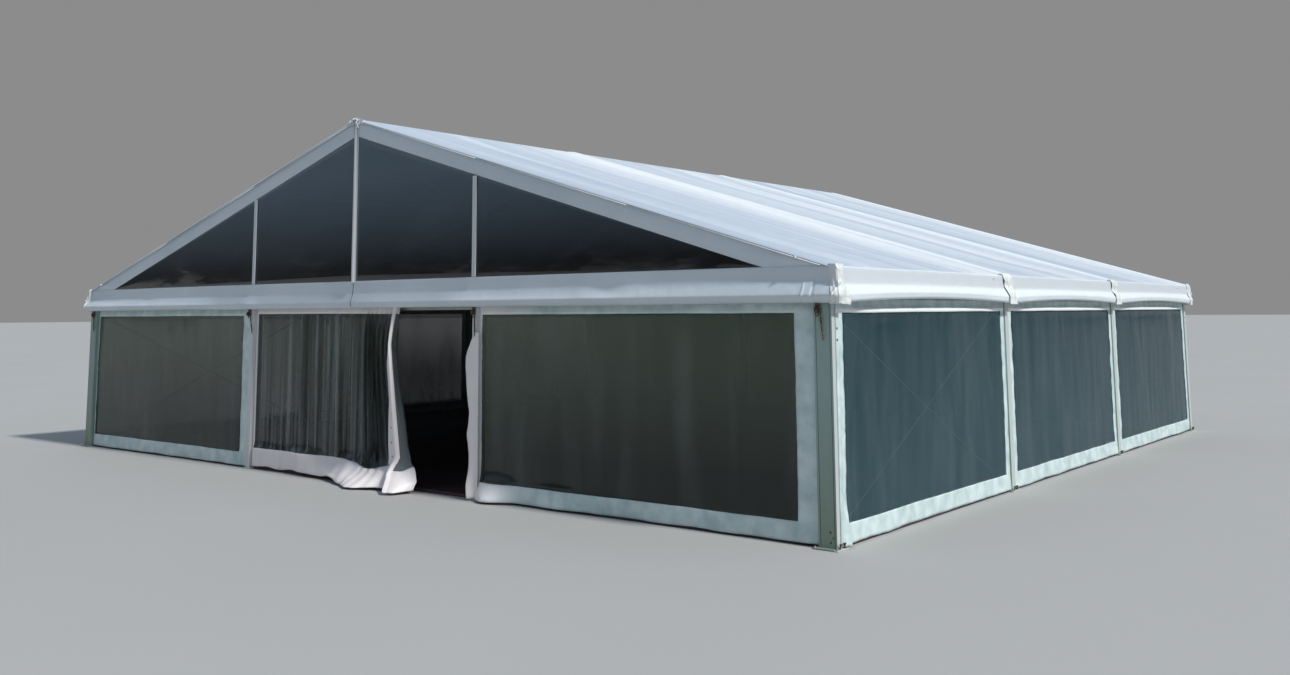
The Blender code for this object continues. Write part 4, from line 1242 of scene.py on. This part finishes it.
def build_hook(index, x, lean):
    """A pulley hook under the valance with its hanging bar of rusty steel."""
    y = FRONT_FACE
    top = VALANCE_Z + 0.02
    wheel = top - 0.085
    bm = bmesh.new()
    add_block(bm, (x - 0.016, y - 0.03, top - 0.05), (x + 0.016, y - 0.004, top), 0.003)
    add_rod(bm, (x - 0.012, y - 0.024, wheel), (x + 0.016, y - 0.024, wheel), 0.036, 20)
    add_rod(bm, (x - 0.022, y - 0.024, wheel), (x + 0.026, y - 0.024, wheel), 0.009, 6)
    add_ring(bm, (x + 0.004, y - 0.026, top - 0.125), (0.3, 1, 0), 0.022, 0.005, 18)
    finish_piece(f"pulley_{index}", bm, [RUST])
    bm = bmesh.new()
    path = []
    for k in range(10):
        path.append(Vector((x + 0.02 + lean * k / 10, y - 0.02 - 0.004 * math.sin(k / 3), top - 0.038 * k)))
    for near, far in zip(path, path[1:]):
        add_rod(bm, near, far, 0.009, 8)
    add_rod(bm, path[-1], path[-1] - Vector((0, 0, 0.045)), 0.009, 8, 0.003)
    add_ring(bm, path[0] - Vector((0, 0, 0.005)), (0, 1, 0), 0.014, 0.004, 14)
    finish_piece(f"hanging_bar_{index}", bm, [RUST])


# Off a leg's middle: its base plate's bolts, and its two pegs with their lean
BOLT_X = 0.122
BOLT_Y = 0.095
PEG_X = 0.121
PEGS = ((-0.045, 0.01), (0.048, -0.008))
PLATE_TOP = 0.012


def build_leg_fittings(side, index):
    """Bolts and pegs on a leg's base plate."""
    y = FRAME_YS[index]
    name = f"{HANDS[side]}_{index + 1}"
    bm = bmesh.new()
    for x in (LEG_X - BOLT_X, LEG_X + BOLT_X):
        for at_y in (y - BOLT_Y, y + BOLT_Y):
            at = (side * x, at_y)
            add_rod(bm, (*at, PLATE_TOP), (*at, 0.016), 0.014, 18)
            add_rod(bm, (*at, 0.015), (*at, 0.026), 0.009, 6)
    finish_piece(f"foot_bolts_{name}", bm, [STEEL])
    bm = bmesh.new()
    for off, tilt in PEGS:
        at = Vector((side * (LEG_X + PEG_X), y + off, PLATE_TOP))
        top = at + Vector((side * abs(tilt), tilt, 0.046))
        add_rod(bm, at, top, 0.009, 14)
        add_rod(bm, top - Vector((0, 0, 0.004)), top + Vector((0, 0, 0.006)), 0.018, 20, 0.014)
    finish_piece(f"foot_pegs_{name}", bm, [RUST])


# Bolt holes of the corner legs: x and z on their end faces; heights on their outer faces, and x and y there
END_HOLES = ((7.429, 0.162), (7.459, 0.111), (7.43, 0.066))
OUTER_HOLES = (2.107, 1.995)
OUTER_HOLE_PLACES = {-1: (HALF_SPAN + 0.009, -6.718), 1: (HALF_SPAN, 6.745)}


def build_leg_holes():
    """The open bolt holes of the corner legs: dark rings, and thin dark discs on the face as painted shade
    for their bores.
    """
    bm = bmesh.new()
    for side in (-1, 1):
        for end in (-1, 1):
            for x, z in END_HOLES:
                at = Vector((side * x, end * (FRAME_YS[-1] + HALF_WIDTH), z))
                add_ring(bm, at, (0, 1, 0), 0.009, 0.0025, 16)
                # A thin dark disc on the face: painted shade for the bore
                add_rod(bm, at, at + Vector((0, end * 0.001, 0)), 0.008, 16)
            x, y = OUTER_HOLE_PLACES[end]
            for z in OUTER_HOLES:
                at = Vector((side * x, y, z))
                add_ring(bm, at, (1, 0, 0), 0.01, 0.0025, 16)
                # A thin dark disc on the face: painted shade for the bore
                add_rod(bm, at, at + Vector((side * 0.001, 0, 0)), 0.009, 16)
    finish_piece("leg_holes", bm, [RUST])


# Across the roof: the purlins, the stretches that the roof cables cross, and the knee braces' upper ends
ROOF_PURLINS = (2.5, 5.0)
CABLE_STRETCHES = ((0.12, 2.5), (2.5, 5.0), (5.0, 7.2))
KNEE_X = 6.9


def build_inner_frame():
    """Purlins between the rafters, crossed cables under the end bays' roof, and braces at the eaves."""
    purlins, cables = bmesh.new(), bmesh.new()
    last = len(FRAME_YS) - 2
    for bay in range(last + 1):
        y0 = FRAME_YS[bay] + HALF_WIDTH
        y1 = FRAME_YS[bay + 1] - HALF_WIDTH
        for side in (-1, 1):
            for x in ROOF_PURLINS:
                z = roof_z(x) - 0.1
                add_block(purlins, (side * x - 0.03, y0, z - 0.04), (side * x + 0.03, y1, z + 0.02), 0.004)
            for x0, x1 in CABLE_STRETCHES if bay in (0, last) else ():
                z0, z1 = roof_z(x0) - 0.15, roof_z(x1) - 0.15
                add_rod(cables, (side * x0, y0, z0), (side * x1, y1, z1), 0.006, 8)
                add_rod(cables, (side * x1, y0, z1), (side * x0, y1, z0), 0.006, 8)
    finish_piece("roof_purlins", purlins, [ALUMINIUM])
    finish_piece("roof_cables", cables, [STEEL])
    bm = bmesh.new()
    for y in FRAME_YS:
        inward = -0.04 if y > 0 else 0.04
        for side in (-1, 1):
            at = y + math.copysign(HALF_WIDTH + 0.004, inward)
            low = (side * LEG_X - 0.07, at - 0.004, EAVE_Z - 0.17)
            add_block(bm, low, (side * LEG_X + 0.06, at + 0.004, EAVE_Z - 0.07), 0.002)
            foot = (side * LEG_INNER_X, y + inward, EAVE_Z - 0.5)
            add_rod(bm, foot, (side * KNEE_X, y + inward, roof_z(KNEE_X) - 0.22), 0.016, 14)
    finish_piece("knee_brackets", bm, [STEEL])


# The finish of each node of the frame and the floor that stays as it is, by how its name starts; the braces'
# pale finish is a painted highlight of sunlit cables
FRAME_FINISHES = {"leg": LEG_FINISH, "upright": PALE_FINISH, "rafter": ALUMINIUM, "ridge": ALUMINIUM,
                  "eave_purlin": ALUMINIUM, "gable_beam": ALUMINIUM, "brace": PALE_FINISH, "floor": DECK}


def dress_frame():
    """Materials for the nodes of the frame and the floor that stay as they are."""
    for name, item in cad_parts.items():
        for start, finish in FRAME_FINISHES.items():
            if name.startswith(start):
                item.data.materials.clear()
                item.data.materials.append(finish)


# Stage, lights and camera

CAMERA_PLACE = (13.07, -16.739, 2.281)
# Degrees of turn to the left, up from straight down, and of roll
CAMERA_TURNS = ((38.452, "Z"), (90 + 6.789, "X"), (-0.382, "Z"))
CAMERA_LENS = 31.826
CAMERA_SHIFT = -0.1252


def add_object(name, data):
    """An object linked into the scene."""
    made = bpy.data.objects.new(name, data)
    bpy.context.scene.collection.objects.link(made)
    return made


def build_camera():
    """The camera at the photograph's place and angle, shifted down as far as its framing is."""
    data = bpy.data.cameras.new("camera")
    data.lens = CAMERA_LENS
    data.shift_y = CAMERA_SHIFT
    data.sensor_width = 36.0
    data.clip_end = 2000
    camera = add_object("camera", data)
    matrix = Matrix.Translation(CAMERA_PLACE)
    for degrees, axis in CAMERA_TURNS:
        matrix = matrix @ Matrix.Rotation(math.radians(degrees), 4, axis)
    camera.matrix_world = matrix
    bpy.context.scene.camera = camera


# Colours of the surround as the camera sees it, round the horizon and above, and where it turns pale
SURROUND_SEEN = (0.262, 0.262, 0.262)
SURROUND_LOW = (0.1, 0.105, 0.11)
SURROUND_HIGH = (0.27, 0.33, 0.41)
SURROUND_RISE = {"From Min": 0.1, "From Max": 0.36}


def build_surround():
    """A soft surround: dim round the horizon and pale blue above, seen by the camera as even grey."""
    world = bpy.data.worlds.new("surround")
    world.use_nodes = True
    nodes = Nodes(world.node_tree)
    parts = nodes.node("ShaderNodeSeparateXYZ")
    nodes.join(nodes.node("ShaderNodeTexCoord").outputs["Generated"], parts, "Vector")
    rise = nodes.node("ShaderNodeMapRange", SURROUND_RISE, interpolation_type="SMOOTHSTEP")
    nodes.join(parts.outputs["Z"], rise, "Value")
    sky = nodes.mix(rise.outputs["Result"], SURROUND_LOW, SURROUND_HIGH)
    rays = nodes.node("ShaderNodeLightPath")
    seen = nodes.mix(rays.outputs["Is Camera Ray"], sky, SURROUND_SEEN)
    nodes.join(seen, world.node_tree.nodes["Background"], "Color")
    bpy.context.scene.world = world


STAGE_SIZE = 400
KEY_FROM = Vector((0.7, -0.005, 0.68))
KEY_STRENGTH = 3.1
KEY_SIZE = math.radians(5)
KEY_COLOUR = (1.0, 0.985, 0.96)


def build_stage():
    """A plain pale floor just under the tent's."""
    finish = Finish("stage_floor", 0.85)
    finish.colour(finish.mix(finish.noise(0.2, detail=2), (0.43, 0.43, 0.42), (0.47, 0.47, 0.46)))
    mesh = bpy.data.meshes.new("stage_floor")
    bm = bmesh.new()
    below = Matrix.Translation((0, 0, -0.002))
    bmesh.ops.create_grid(bm, x_segments=1, y_segments=1, size=STAGE_SIZE, matrix=below)
    bm.to_mesh(mesh)
    bm.free()
    mesh.materials.append(finish.material)
    add_object("stage_floor", mesh)


def build_key():
    """A soft key light from the right."""
    light = bpy.data.lights.new("key", "SUN")
    light.energy = KEY_STRENGTH
    light.angle = KEY_SIZE
    light.color = KEY_COLOUR
    lamp = add_object("key", light)
    lamp.rotation_mode = "QUATERNION"
    lamp.rotation_quaternion = KEY_FROM.to_track_quat("Z", "Y")
    bpy.context.scene.view_settings.view_transform = "Standard"


build_camera()
build_surround()
build_stage()
build_key()
dress_frame()
for bay_index in range(len(FRAME_YS) - 1):
    build_cover(bay_index)
for frame_index in range(1, len(FRAME_YS) - 1):
    for flap_side in (-1, 1):
        build_joint_flap(frame_index, flap_side)
build_rake_trim()
build_valance_eyelets()
for half_side in (-1, 1):
    build_gable_half(half_side)
    for cover_end in ("front", "back"):
        build_corner_cover(half_side, cover_end)
    for leg_index in range(len(FRAME_YS)):
        build_leg_fittings(half_side, leg_index)
build_gable_strips()
build_king_post()
build_back()
build_side_walls()
build_front_walls()
build_curtain()
build_curtain_eyelets()
build_curtain_rail()
build_flap()
build_apex_tufts()
build_apex_tie()
for hook_index, (hook_x, hook_lean) in enumerate(HOOKS, start=1):
    build_hook(hook_index, hook_x, hook_lean)
build_leg_holes()
build_inner_frame()
